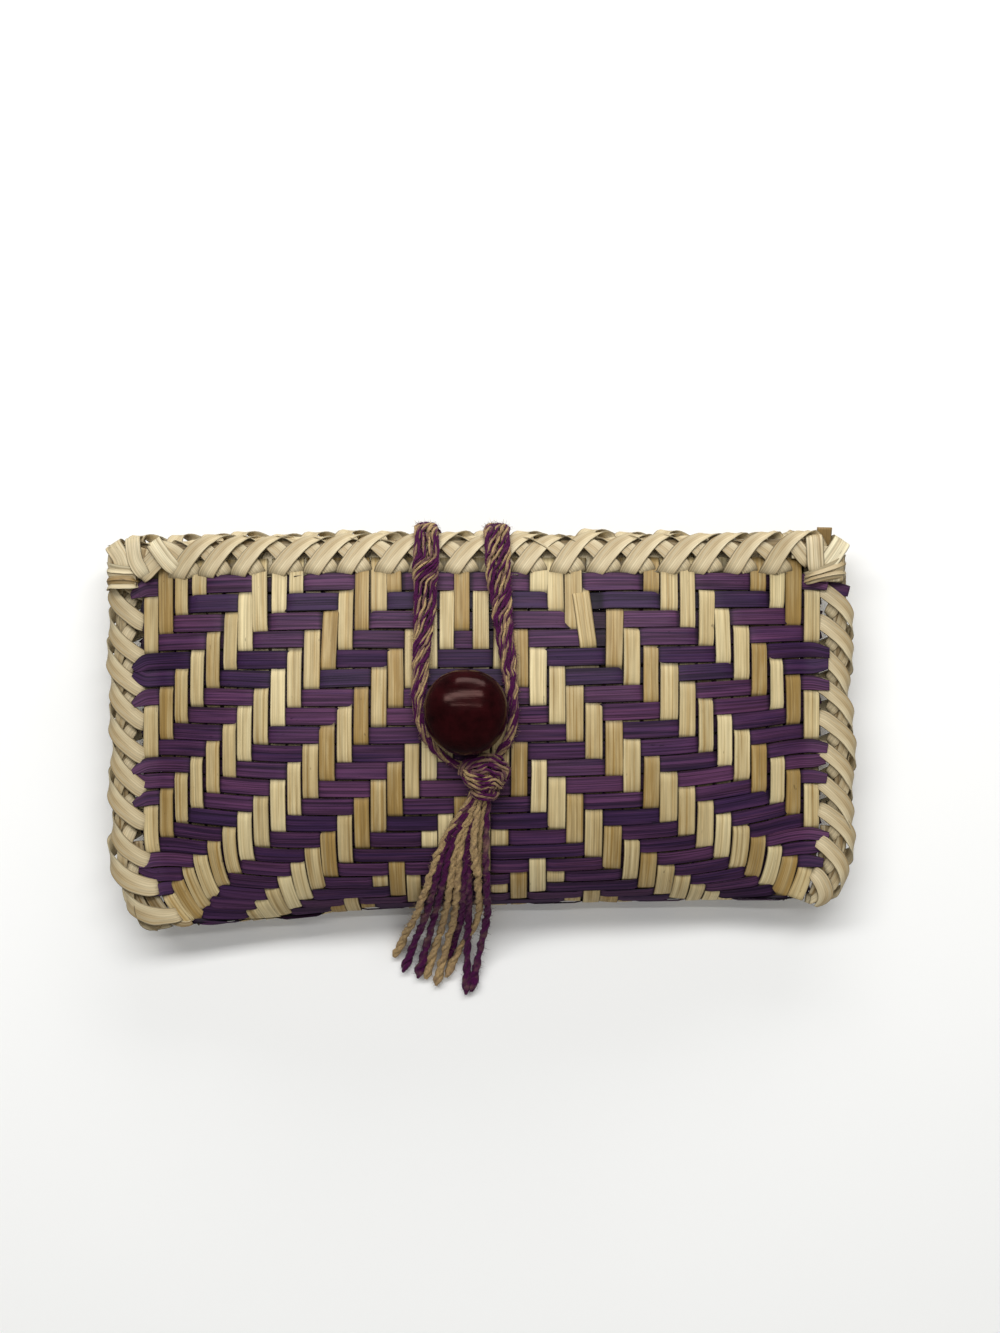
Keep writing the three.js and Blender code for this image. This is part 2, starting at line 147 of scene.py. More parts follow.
# Knot of the loop and the strands that hang from it, in mm.
# Strand columns: x half way down the wall, x at the bottom edge, tip x, tip y, dye (0 purple, 1 tan).
KNOT_X, KNOT_Y = 2.7, -18.2
STRANDS = [
    (-11.2, -22, -30.3, -86.5, 1),
    (-10.2, -18.5, -27.1, -92, 0),
    (-8, -15.3, -21.6, -94.2, 0),
    (-6.3, -11.7, -18.7, -94.5, 1),
    (-4.9, -8.2, -15.1, -97, 1),
    (-2.7, -5.7, -10.4, -87.6, 0),
    (-2, -3.2, -4.2, -100.2, 0),
    (0.9, 0.3, -11.5, -93.8, 1),
    (3.3, 3.5, -2.4, -99.2, 0),
]
# Height of one strand lying on another, in mm, and the way from a strand's middle to its yarns, in radii.
STRAND_LIFT, STRAND_REACH = 1.95, 0.45
# Starting dye of the loop and the knot, and the marks that a line of yarn carries.
CORD_DYE, KNOT_DYE = -0.42, -0.4
YARN_MARKS = ("wide", "thick", "dye", "phase", "plump")

# Seed button: place on the wall, size across, along and up, how much fuller it is towards the mouth,
# how square, and its low ridge: place, slant and roundness as shares of half the seed, and the fall beside it.
SEED_X, SEED_Y, SEED_LIFT = -3.4 * MM, 3.5 * MM, 2.6 * MM
SEED_SIZE = np.array((28.6, 29.2, 19)) * MM
SEED_FULLER, SEED_SQUARE = 0.04, 2.1
SEED_RINGS, SEED_AROUND = 40, 64
RIDGE_PLACE, RIDGE_SLANT, RIDGE_ROUND, RIDGE_FALL = 0.14, 0.08, 0.03, 0.05
SEED_UNEVEN = 0.012
SEED_GLOSS = "#E6B4AA"
# Stitches under the seed, from their feet on the wall to their heads in the seed: way out and height.
STITCHES = 4
STITCH_ENDS = ((1.5 * MM, 0.2 * MM), (0.7 * MM, 3.1 * MM))
STITCH_REACH = 0.35 * MM

# Patterns along a palm strip: length and width in mm, detail, roughness. The real ribs lie 0.3 mm apart,
# which is too fine to show, so they are drawn coarser. Streaks come from sun and age, flecks from weather.
LEAF_PATTERNS = {
    "rib": (60, 0.5, 3.0, 0.7), "vein": (90, 0.8, 2.0, 0.5), "streak": (25, 2.5, 3.0, 0.55),
    "fleck": (4, 1.5, 2.0, 0.6)}
# Where each darkening begins and ends, and how much light is left: weather flecks, painted shade at a strip's
# edges, painted shade where a strip lies deep in the weave.
LEAF_SHADES = {"fleck": (0.67, 0.76, 1.0, 0.5), "across": (0.82, 1.0, 1.0, 0.48), "deep": (0.0, 1.0, 1.0, 0.27)}
# How far the pattern moves on from strip to strip, and how pale a strip is before streaks and tone.
STRIPS_APART = 61.0
PALER = -0.55

# Camera straight above the bag: the photo's frame is 1000 by 1333 pixels.
FRAME_LONG = 1333
FOCAL_PIXELS = 2060
CAMERA_PLACE = (8.15 * MM, 18.96 * MM, 750 * MM)


def srgb(code):
    """Linear RGBA of an sRGB hex colour."""
    parts = [int(code[i:i + 2], 16) / 255 for i in (1, 3, 5)]
    return tuple(p / 12.92 if p <= 0.04045 else ((p + 0.055) / 1.055) ** 2.4 for p in parts) + (1.0,)


def length_prop(name, description, default):
    """Length in metres."""
    return FloatProperty(name=name, description=description, default=default, unit="LENGTH", precision=5)


def colour_prop(name, description, code):
    """Colour from its sRGB hex code."""
    return FloatVectorProperty(name=name, description=description, default=srgb(code), size=4, subtype="COLOR")


class STRAW_PG_weave(bpy.types.PropertyGroup):
    """Sizes and colours of the woven strips."""
    strip_share: FloatProperty(
        name="Strip share", description="Width of a strip as a share of its place", default=0.935,
        subtype="FACTOR")
    strip_thick: length_prop("Strip thickness", "Thickness of one palm strip", 0.45 * MM)
    ride: length_prop("Ride", "How far a strip rises where it passes over another", 0.52 * MM)
    straw_light: colour_prop("Pale straw", "Lightest undyed strip", "#D9C89A")
    straw_dark: colour_prop("Golden straw", "Darkest undyed strip", "#967943")
    dye_light: colour_prop("Faded plum", "Reddest and most faded dyed strip", "#522F4B")
    dye_dark: colour_prop("Deep violet", "Bluest and darkest dyed strip", "#2C1936")
    seed: IntProperty(name="Seed", description="Fixed start of the strips' variety", default=11)


class STRAW_PG_edging(bpy.types.PropertyGroup):
    """Sizes and colours of the plaited edges."""
    strip_width: length_prop("Strip width", "Width of an edging strip", 6.2 * MM)
    strip_thick: length_prop("Strip thickness", "Thickness of an edging strip", 0.45 * MM)
    rim_pitch: length_prop("Rim pitch", "Distance between stitches along the rims", 12.3 * MM)
    side_pitch: length_prop("Side pitch", "Distance between stitches along the sides", 11.8 * MM)
    drift: length_prop("Drift", "How far a stitch strays along the edge", 0.9 * MM)
    straw_light: colour_prop("Cream straw", "Lightest edging strip", "#EADFBC")
    straw_dark: colour_prop("Buff straw", "Darkest edging strip", "#94794C")
    seed: IntProperty(name="Seed", description="Fixed start of the stitches' variety", default=5)


class STRAW_PG_cord(bpy.types.PropertyGroup):
    """Sizes and colours of the twisted loop and its tassel."""
    yarn: length_prop("Yarn radius", "Radius of one yarn of the loop", 0.72 * MM)
    lay: length_prop("Lay", "Length of one full turn of the loop's twist", 58 * MM)
    strand: length_prop("Strand radius", "Radius of one yarn of a tassel strand", 1.0 * MM)
    hairs: FloatProperty(name="Hairs", description="Loose fibres on a square metre of yarn", default=350000.0)
    hair_length: length_prop("Hair length", "Length of the longest loose fibres", 2.2 * MM)
    seed: IntProperty(name="Seed", description="Fixed start of the yarns' variety", default=3)
    purple: colour_prop("Purple yarn", "Dyed yarn", "#48103F")
    tan: colour_prop("Tan yarn", "Undyed yarn", "#AC9167")


class STRAW_PG_seed(bpy.types.PropertyGroup):
    """Colours of the seed button."""
    shell: colour_prop("Seed shell", "Colour of the polished shell", "#28070A")
    shadow: colour_prop("Seed shadow", "Darkest mottling of the shell", "#120304")


class STRAW_PG_stage(bpy.types.PropertyGroup):
    """Light and floor."""
    paper: colour_prop("Paper", "Pale floor", "#FAFAF8")
    key: FloatProperty(name="Key light", description="Power of the window light", default=10.8)
    fill: FloatProperty(name="Fill", description="Strength of the light from all round", default=0.15)


def clamp01(value):
    """Value held between 0 and 1."""
    return np.clip(value, 0.0, 1.0)


def smoothstep(value):
    """Soft step from 0 to 1."""
    t = clamp01(value)
    return t * t * (3 - 2 * t)


def unit(vectors):
    """Vectors brought to length 1."""
    return vectors / np.linalg.norm(vectors, axis=-1, keepdims=True)


def travelled(points):
    """Distance along a line at each of its points."""
    return np.concatenate([[0], np.cumsum(np.linalg.norm(np.diff(points, axis=0), axis=1))])


def section_value(column, x):
    """Smooth value of one column of the section table, carried on level past both sides."""
    places, values = SECTIONS[:, 0], SECTIONS[:, column]
    last = len(places) - 1
    at = np.clip(x, places[0], places[-1])
    i = np.clip(np.searchsorted(places, at) - 1, 0, last - 1)
    before = np.maximum(np.arange(last + 1) - 1, 0)
    after = np.minimum(np.arange(last + 1) + 1, last)
    slope = (values[after] - values[before]) / (places[after] - places[before])
    run = places[i + 1] - places[i]
    t = (at - places[i]) / run
    bend = slope[i] * t * (1 - t) ** 2 - slope[i + 1] * t * t * (1 - t)
    return values[i] + (values[i + 1] - values[i]) * smoothstep(t) + bend * run


def mat_point(x, around, inset=WEAVE_INSET):
    """Place on the mat: around runs from 0 at the front lip through 1 at the fold to 2 at the back lip."""
    x, around = np.broadcast_arrays(np.asarray(x, float), np.asarray(around, float))
    lip, fold, full = (section_value(column, x) for column in (LIP, FOLD, FULL))
    front = around <= 1
    t = np.where(front, around, around - 1)
    weights = ((1 - t) ** 3, 3 * (1 - t) ** 2 * t, 3 * (1 - t) * t * t, t ** 3)
    y, z = np.zeros_like(x), np.zeros_like(x)
    for weight, on_front, on_back in zip(weights, FRONT_CURVE, BACK_CURVE):
        share, tall, seam = (np.where(front, a, b) for a, b in zip(on_front, on_back))
        inward = np.where(share == 1, 0, np.where(front, -inset, inset))
        y = y + weight * (lip + (fold + inset - lip) * share)
        z = z + weight * (seam + (tall - seam) * full + inward)
    lean = clamp01((LEAN_START - y) / (LEAN_START - fold)) ** LEAN_POWER
    return np.stack([x + section_value(LEAN, x) * lean, y, np.maximum(z, inset)], axis=-1)


def mat_normal(x, around):
    """Outward direction of the mat."""
    step_x, step_around = 0.4 * MM, 0.004
    across = mat_point(x + step_x, around) - mat_point(x - step_x, around)
    low, high = np.clip(around - step_around, 0, 2), np.clip(around + step_around, 0, 2)
    down = mat_point(x, high) - mat_point(x, low)
    return unit(np.cross(down, across))


def front_height(x, y):
    """Height of the front wall's outer face over a place."""
    around = np.linspace(0, 1, 801)
    points = mat_point(x, around, 0)
    return float(np.interp(-y, -points[:, 1], points[:, 2]))


def row_distance(row, wall_length):
    """Distance of a row from its lip along the wall: rows close up a little towards the fold."""
    share = row / FOLD_ROW
    woven = wall_length - FIRST_ROW_DOWN
    return FIRST_ROW_DOWN + woven * ((1 + ROW_CLOSING) * share - ROW_CLOSING * share * share)


TABLE_X = np.linspace(LEFT_EDGE, RIGHT_EDGE, 61)
TABLE_ROW = np.linspace(-0.9, ROWS + 0.9, 540)


def make_row_table():
    """For each place across and each row, how far round the mat it lies."""
    around = np.linspace(0, 2, 2401)
    table = np.zeros((len(TABLE_X), len(TABLE_ROW)))
    for i, x in enumerate(TABLE_X):
        run = travelled(mat_point(x, around))
        front = np.interp(1, around, run)
        on_front = row_distance(TABLE_ROW, front)
        on_back = run[-1] - row_distance(ROWS - TABLE_ROW, run[-1] - front)
        place = np.where(TABLE_ROW <= FOLD_ROW, on_front, on_back)
        table[i] = np.interp(place, run, around)
    return table


ROW_TABLE = make_row_table()


def around_at(x, row):
    """How far round the mat a row lies at x, from the table."""
    i = np.clip(np.searchsorted(TABLE_X, x) - 1, 0, len(TABLE_X) - 2)
    k = np.clip(np.searchsorted(TABLE_ROW, row) - 1, 0, len(TABLE_ROW) - 2)
    s = clamp01((x - TABLE_X[i]) / (TABLE_X[i + 1] - TABLE_X[i]))
    t = clamp01((row - TABLE_ROW[k]) / (TABLE_ROW[k + 1] - TABLE_ROW[k]))
    upper = ROW_TABLE[i, k] * (1 - s) + ROW_TABLE[i + 1, k] * s
    lower = ROW_TABLE[i, k + 1] * (1 - s) + ROW_TABLE[i + 1, k + 1] * s
    return upper * (1 - t) + lower * t


def column_x(column):
    """Place across the bag of a column's middle. Strips are a little narrower left of the middle one."""
    offset = np.asarray(column, float) - MIDDLE_COLUMN
    reach = COLUMNS / 2
    left, right = (MIDDLE_X - LEFT_EDGE) / reach, (RIGHT_EDGE - MIDDLE_X) / reach
    return MIDDLE_X + offset * np.where(offset < 0, left, right)


def straw_on_top(column, row):
    """True where the undyed strip lies over the dyed row."""
    out = abs(column - MIDDLE_COLUMN)
    counted = min(row, ROWS + 1 - row)
    if row in LOOSE_ROWS and out <= LOOSE_ROWS[row][0]:
        return out in LOOSE_ROWS[row][1]
    return (counted - 1 - out) % TWILL < TWILL // 2


STEPS_IN_CROSSING = np.array([0.0, 0.16, 0.38, 0.62, 0.84])
SINK_SHARE = 0.34


def depth_of(lift, ride):
    """How deep in the weave a strip lies at its heights, for its painted shade: 0 on top, 1 where it has gone
    under.
    """
    return smoothstep((DEEP_FROM - lift / ride) / DEEP_OVER)


def over_under(on_top, ride):
    """Heights along a strip that passes over and under its crossings, five for each crossing."""
    heights = []
    for i, top in enumerate(on_top):
        sign = 1.0 if top else -1.0
        rises = i > 0 and on_top[i - 1] != top
        sinks = i + 1 < len(on_top) and on_top[i + 1] != top
        for t in STEPS_IN_CROSSING:
            share = 1.0
            if rises:
                share = min(share, smoothstep(t / SINK_SHARE))
            if sinks:
                share = min(share, smoothstep((1 - t) / SINK_SHARE))
            heights.append(sign * ride * share)
    return np.array(heights)


def wander(rng, count, size, knots=9):
    """Slow seeded wandering along a strip."""
    places = np.linspace(0, 1, count)
    return np.interp(places, np.linspace(0, 1, knots), rng.normal(0, size, knots))


def tilted(rng, up, centre):
    """Way a strip faces, rocked a little from side to side along its line."""
    side = unit(np.cross(up, np.gradient(centre, axis=0)))
    return unit(up + side * (wander(rng, len(centre), STRIP_TILT) + rng.normal(0, STRIP_TILT))[:, None])


# Cross section of a palm strip: share of half its width, share of its thickness, anticlockwise.
STRIP_OUTLINE = np.array([
    (1, -0.05), (0.95, 0.4), (0, 0.6), (-0.95, 0.4), (-1, -0.05), (-0.8, -0.42), (0.8, -0.42),
])
CRISP_POINTS = (1, 3)


def make_strip(centre, up, half_width, thick, tone, place=0.0, deep=0.0):
    """Strip along a line: rings of points, their places on the strip in metres, its tone and its depth, which
    its material paints as shade.
    """
    travel = np.gradient(centre, axis=0)
    side = unit(np.cross(up, travel))
    rise = unit(np.cross(travel, side))
    half = np.broadcast_to(half_width, len(centre))
    wide = STRIP_OUTLINE[:, 0][None, :] * half[:, None]
    tall = STRIP_OUTLINE[:, 1] * thick
    rings = centre[:, None] + wide[..., None] * side[:, None] + tall[None, :, None] * rise[:, None]
    places = np.stack([np.broadcast_to(travelled(centre)[:, None] + place, wide.shape), wide], axis=-1)
    return {"rings": rings, "places": places, "tone": tone, "deep": np.broadcast_to(deep, len(centre))}


def strips_mesh(name, strips, material):
    """One mesh of closed strips, with their places as the UV map, and tone, across and deep as attributes."""
    points, places, tones, across, deeps, faces = [], [], [], [], [], []
    start = 0
    for strip in strips:
        count, around = strip["rings"].shape[:2]
        i, k = np.meshgrid(np.arange(count - 1), np.arange(around), indexing="ij")
        a = start + i * around + k
        b = start + i * around + (k + 1) % around
        faces += np.stack([a, b, b + around, a + around], axis=-1).reshape(-1, 4).tolist()
        faces.append([start + n for n in reversed(range(around))])
        faces.append([start + (count - 1) * around + n for n in range(around)])
        points.append(strip["rings"].reshape(-1, 3))
        places.append(strip["places"].reshape(-1, 2))
        tones.append(np.full(count * around, strip["tone"]))
        across.append(np.tile(np.abs(STRIP_OUTLINE[:, 0]), count))
        deeps.append(np.repeat(strip["deep"], around))
        start += count * around
    mesh = bpy.data.meshes.new(name)
    mesh.from_pydata(np.concatenate(points).tolist(), [], faces)
    corners = np.zeros(len(mesh.loops), np.int32)
    mesh.loops.foreach_get("vertex_index", corners)
    layer = mesh.uv_layers.new(name="strip")
    layer.data.foreach_set("uv", np.concatenate(places)[corners].astype(np.float32).ravel())
    for key, values in (("tone", tones), ("across", across), ("deep", deeps)):
        data = mesh.attributes.new(key, "FLOAT", "POINT").data
        data.foreach_set("value", np.concatenate(values).astype(np.float32))
    mesh.polygons.foreach_set("use_smooth", np.ones(len(mesh.polygons), bool))
    ends = np.zeros(2 * len(mesh.edges), np.int32)
    mesh.edges.foreach_get("vertices", ends)
    on_outline = ends.reshape(-1, 2) % len(STRIP_OUTLINE)
    crisp = (on_outline[:, 0] == on_outline[:, 1]) & np.isin(on_outline[:, 0], CRISP_POINTS)
    mesh.attributes.new("sharp_edge", "BOOLEAN", "EDGE").data.foreach_set("value", crisp)
    mesh.materials.append(material)
    mesh.update()
    return mesh


def add_piece(name, mesh, slot, *nodes):
    """Puts a finished mesh in the scene as a piece that stands for CAD nodes."""
    piece = bpy.data.objects.new(name, mesh)
    bpy.context.scene.collection.objects.link(piece)
    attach(piece, "root")
    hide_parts(*nodes)
    return piece


def add_node(tree, kind, inputs=(), out=0, **settings):
    """Adds a node and returns an output. Inputs, by place or name, are values, outputs or lists of outputs."""
    node = tree.nodes.new(kind)
    for field, value in settings.items():
        setattr(node, field, value)
    for key, value in inputs.items() if isinstance(inputs, dict) else enumerate(inputs):
        for part in value if isinstance(value, list) else [value]:
            if isinstance(part, bpy.types.NodeSocket):
                tree.links.new(part, node.inputs[key])
            else:
                node.inputs[key].default_value = part
    return node.outputs[out] if len(node.outputs) else None


def new_material(name):
    """Material with an empty node tree, and the function that adds a node to it."""
    material = bpy.data.materials.get(name) or bpy.data.materials.new(name)
    material.use_nodes = True
    material.node_tree.nodes.clear()
    return material, partial(add_node, material.node_tree)


def palm_leaf(name, light, dark, gloss, shine, grooves, veins):
    """Split and dried palm leaf: fine ribs along the strip, soft streaks, a tone for each strip, painted shade
    at its edges and deep in the weave, low satin.
    """
    material, node = new_material(name)
    place = node("ShaderNodeUVMap", uv_map="strip")
    seen = {}
    for key in ("tone", "across", "deep"):
        seen[key] = node("ShaderNodeAttribute", out="Fac", attribute_name=key)
    apart = node("ShaderNodeMath", (seen["tone"], STRIPS_APART), operation="MULTIPLY")
    for key, (length, width, detail, roughness) in LEAF_PATTERNS.items():
        spot = node("ShaderNodeMapping", {
            "Vector": place, "Scale": (1 / (length * MM), 1 / (width * MM), 1)})
        seen[key] = node("ShaderNodeTexNoise", {
            "Vector": spot, "W": apart, "Scale": 1.0, "Detail": detail, "Roughness": roughness},
            noise_dimensions="4D")
    # Pale or golden by the strip's own tone, its streaks and its riper veins
    veined = node("ShaderNodeMapRange", (
        seen["vein"], 0.36, 0.5, veins + PALER, PALER), interpolation_type="SMOOTHSTEP")
    part = node("ShaderNodeMath", (seen["streak"], 1.3, veined), operation="MULTIPLY_ADD")
    ripe = node("ShaderNodeMath", (seen["tone"], 0.85, part), operation="MULTIPLY_ADD", use_clamp=True)
    body = node("ShaderNodeMix", {0: ripe, 6: light, 7: dark}, 2, data_type="RGBA")
    # Darker in the ribs' grooves and the weather flecks, and painted shade at the strip's edges and where it
    # lies deep in the weave
    shade = 1.0
    for key, limits in {"rib": (0.36, 0.64, *grooves), **LEAF_SHADES}.items():
        layer = node("ShaderNodeMapRange", (seen[key], *limits), interpolation_type="SMOOTHSTEP")
        shade = node("ShaderNodeMath", (layer, shade), operation="MULTIPLY")
    colour = node("ShaderNodeVectorMath", {0: body, "Scale": shade}, operation="SCALE")
    rough = node("ShaderNodeMapRange", (seen["rib"], 0.3, 0.7, gloss + 0.14, gloss))
    bump = node("ShaderNodeBump", {"Height": seen["rib"], "Strength": 0.6, "Distance": 0.2 * MM})
    leaf = node("ShaderNodeBsdfPrincipled", {
        "Base Color": colour, "Roughness": rough, "Normal": bump, "Specular IOR Level": shine})
    node("ShaderNodeOutputMaterial", {"Surface": leaf})
    return material


def twisted_yarn(name, purple, tan):
    """Spun cotton yarn: matt and fibrous, dyed or undyed ply by ply, with fine fibres across the ply."""
    material, node = new_material(name)
    place = node("ShaderNodeTexCoord", out="Object")
    dye = node("ShaderNodeAttribute", out="Fac", attribute_name="dye")
    # Fibres, drawn 0.35 mm across because the real ones are too fine to show
    fibre = node("ShaderNodeTexNoise", {
        "Vector": place, "Scale": 1 / (0.7 * MM), "Detail": 3.0, "Roughness": 0.7})
    # Patches of unevenly taken dye, 3 mm across
    patch = node("ShaderNodeTexNoise", {"Vector": place, "Scale": 1 / (3 * MM), "Detail": 2.0})
    taken = node("ShaderNodeMath", (patch, 0.9, -0.45), operation="MULTIPLY_ADD")
    mixed = node("ShaderNodeMath", (dye, taken), operation="ADD", use_clamp=True)
    body = node("ShaderNodeMix", {0: mixed, 6: purple, 7: tan}, 2, data_type="RGBA")
    shade = node("ShaderNodeMapRange", (fibre, 0.3, 0.7, 0.55, 1.25))
    colour = node("ShaderNodeVectorMath", {0: body, "Scale": shade}, operation="SCALE")
    bump = node("ShaderNodeBump", {"Height": fibre, "Strength": 0.8, "Distance": 0.3 * MM})
    yarn = node("ShaderNodeBsdfPrincipled", {
        "Base Color": colour, "Roughness": 0.9, "Normal": bump, "Specular IOR Level": 0.12,
        "Sheen Weight": 0.08})
    node("ShaderNodeOutputMaterial", {"Surface": yarn})
    return material


def polished_seed(name, shell, shadow):
    """Hard seed shell, rubbed smooth: deep red brown, darker mottling and a soft waxy gloss."""
    material, node = new_material(name)
    place = node("ShaderNodeTexCoord", out="Object")
    # Mottling about 6 mm across
    mottle = node("ShaderNodeTexNoise", {
        "Vector": place, "Scale": 1 / (6 * MM), "Detail": 4.0, "Roughness": 0.6})
    part = node("ShaderNodeMapRange", (mottle, 0.35, 0.7))
    colour = node("ShaderNodeMix", {0: part, 6: shell, 7: shadow}, 2, data_type="RGBA")
    # Scratches 0.8 mm wide and 9 mm long, drawn coarser than the real ones, which are too fine to show
    spot = node("ShaderNodeMapping", {
        "Vector": place, "Scale": (1 / (9 * MM), 1 / (0.8 * MM), 1 / (2 * MM))})
    scratch = node("ShaderNodeTexNoise", {"Vector": spot, "Scale": 1.0, "Detail": 2.0})
    rough = node("ShaderNodeMapRange", (scratch, 0.3, 0.7, 0.13, 0.23))
    bump = node("ShaderNodeBump", {"Height": scratch, "Strength": 0.12, "Distance": 0.2 * MM})
    seed = node("ShaderNodeBsdfPrincipled", {
        "Base Color": colour, "Roughness": rough, "Normal": bump, "Specular IOR Level": 0.2,
        "Specular Tint": srgb(SEED_GLOSS)})
    node("ShaderNodeOutputMaterial", {"Surface": seed})
    return material


def matt_paper(name, paper):
    """Matt studio paper: near white with a faint tooth, drawn 1.5 mm apart because the real one is too fine."""
    material, node = new_material(name)
    place = node("ShaderNodeTexCoord", out="Object")
    tooth = node("ShaderNodeTexNoise", {"Vector": place, "Scale": 1 / (1.5 * MM)})
    bump = node("ShaderNodeBump", {"Height": tooth, "Strength": 0.05, "Distance": 0.1 * MM})
    sheet = node("ShaderNodeBsdfPrincipled", {
        "Base Color": paper, "Roughness": 0.9, "Normal": bump, "Specular IOR Level": 0.1})
    node("ShaderNodeOutputMaterial", {"Surface": sheet})
    return material


def smooth_path(points, count):
    """Evenly spaced places on a smooth curve through the points."""
    points = np.asarray(points, float)
    ends = np.vstack([2 * points[0] - points[1], points, 2 * points[-1] - points[-2]])
    knots = np.concatenate([[0], np.cumsum(np.sqrt(np.linalg.norm(np.diff(ends, axis=0), axis=1)))])
    fine = []
    for i in range(1, len(ends) - 2):
        t = np.linspace(knots[i], knots[i + 1], STEPS_BETWEEN, endpoint=False)[:, None]
        k = knots[i - 1:i + 3]
        level = ends[i - 1:i + 3]
        for span in (1, 2):
            level = [level[n] + (level[n + 1] - level[n]) * (t - k[n]) / (k[n + span] - k[n])
                     for n in range(len(level) - 1)]
        fine.append(level[0] + (level[1] - level[0]) * (t - k[1]) / (k[2] - k[1]))
    fine = np.vstack(fine + [points[-1:]])
    run = travelled(fine)
    even = np.linspace(0, run[-1], count)
    return np.stack([np.interp(even, run, fine[:, axis]) for axis in range(3)], axis=-1)


def path_mesh(name, lines):
    """Mesh of open lines for a node tree; what a line carries besides its points becomes point attributes."""
    mesh = bpy.data.meshes.new(name)
    edges, start = [], 0
    for line in lines:
        count = len(line["points"])
        edges += [(start + i, start + i + 1) for i in range(count - 1)]
        start += count
    carried = {key: np.concatenate([line[key] for line in lines]).astype(np.float32) for key in lines[0]}
    mesh.from_pydata(carried.pop("points").tolist(), edges, [])
    for key, values in carried.items():
        kind, field = ("FLOAT_VECTOR", "vector") if values.ndim == 2 else ("FLOAT", "value")
        mesh.attributes.new(key, kind, "POINT").data.foreach_set(field, values.ravel())
    return mesh


def new_tree(name, **inputs):
    """Geometry node tree with inputs by kind of socket; returns what adds a node to it, and its inputs."""
    tree = bpy.data.node_groups.new(name, "GeometryNodeTree")
    tree.interface.new_socket("Geometry", in_out="OUTPUT", socket_type="NodeSocketGeometry")
    for kind, labels in {"Geometry": ("Geometry",), **inputs}.items():
        for label in labels:
            tree.interface.new_socket(label, in_out="INPUT", socket_type="NodeSocket" + kind)
    return partial(add_node, tree), add_node(tree, "NodeGroupInput").node.outputs


def grow(path, tree, values):
    """Runs a node tree on a path mesh and returns the plain mesh that it makes."""
    carrier = bpy.data.objects.new(path.name, path)
    modifier = carrier.modifiers.new(tree.name, "NODES")
    modifier.node_group = tree
    for item in tree.interface.items_tree:
        if item.in_out == "INPUT" and item.name in values:
            modifier[item.identifier] = values[item.name]
    bpy.context.scene.collection.objects.link(carrier)
    graph = bpy.context.evaluated_depsgraph_get()
    mesh = bpy.data.meshes.new_from_object(
        carrier.evaluated_get(graph), preserve_all_data_layers=True, depsgraph=graph)
    carrier.modifiers.remove(modifier)
    bpy.data.objects.remove(carrier)
    if not mesh.polygons:
        raise RuntimeError(tree.name + " made no faces")
    mesh.polygons.foreach_set("use_smooth", np.ones(len(mesh.polygons), bool))
    return mesh


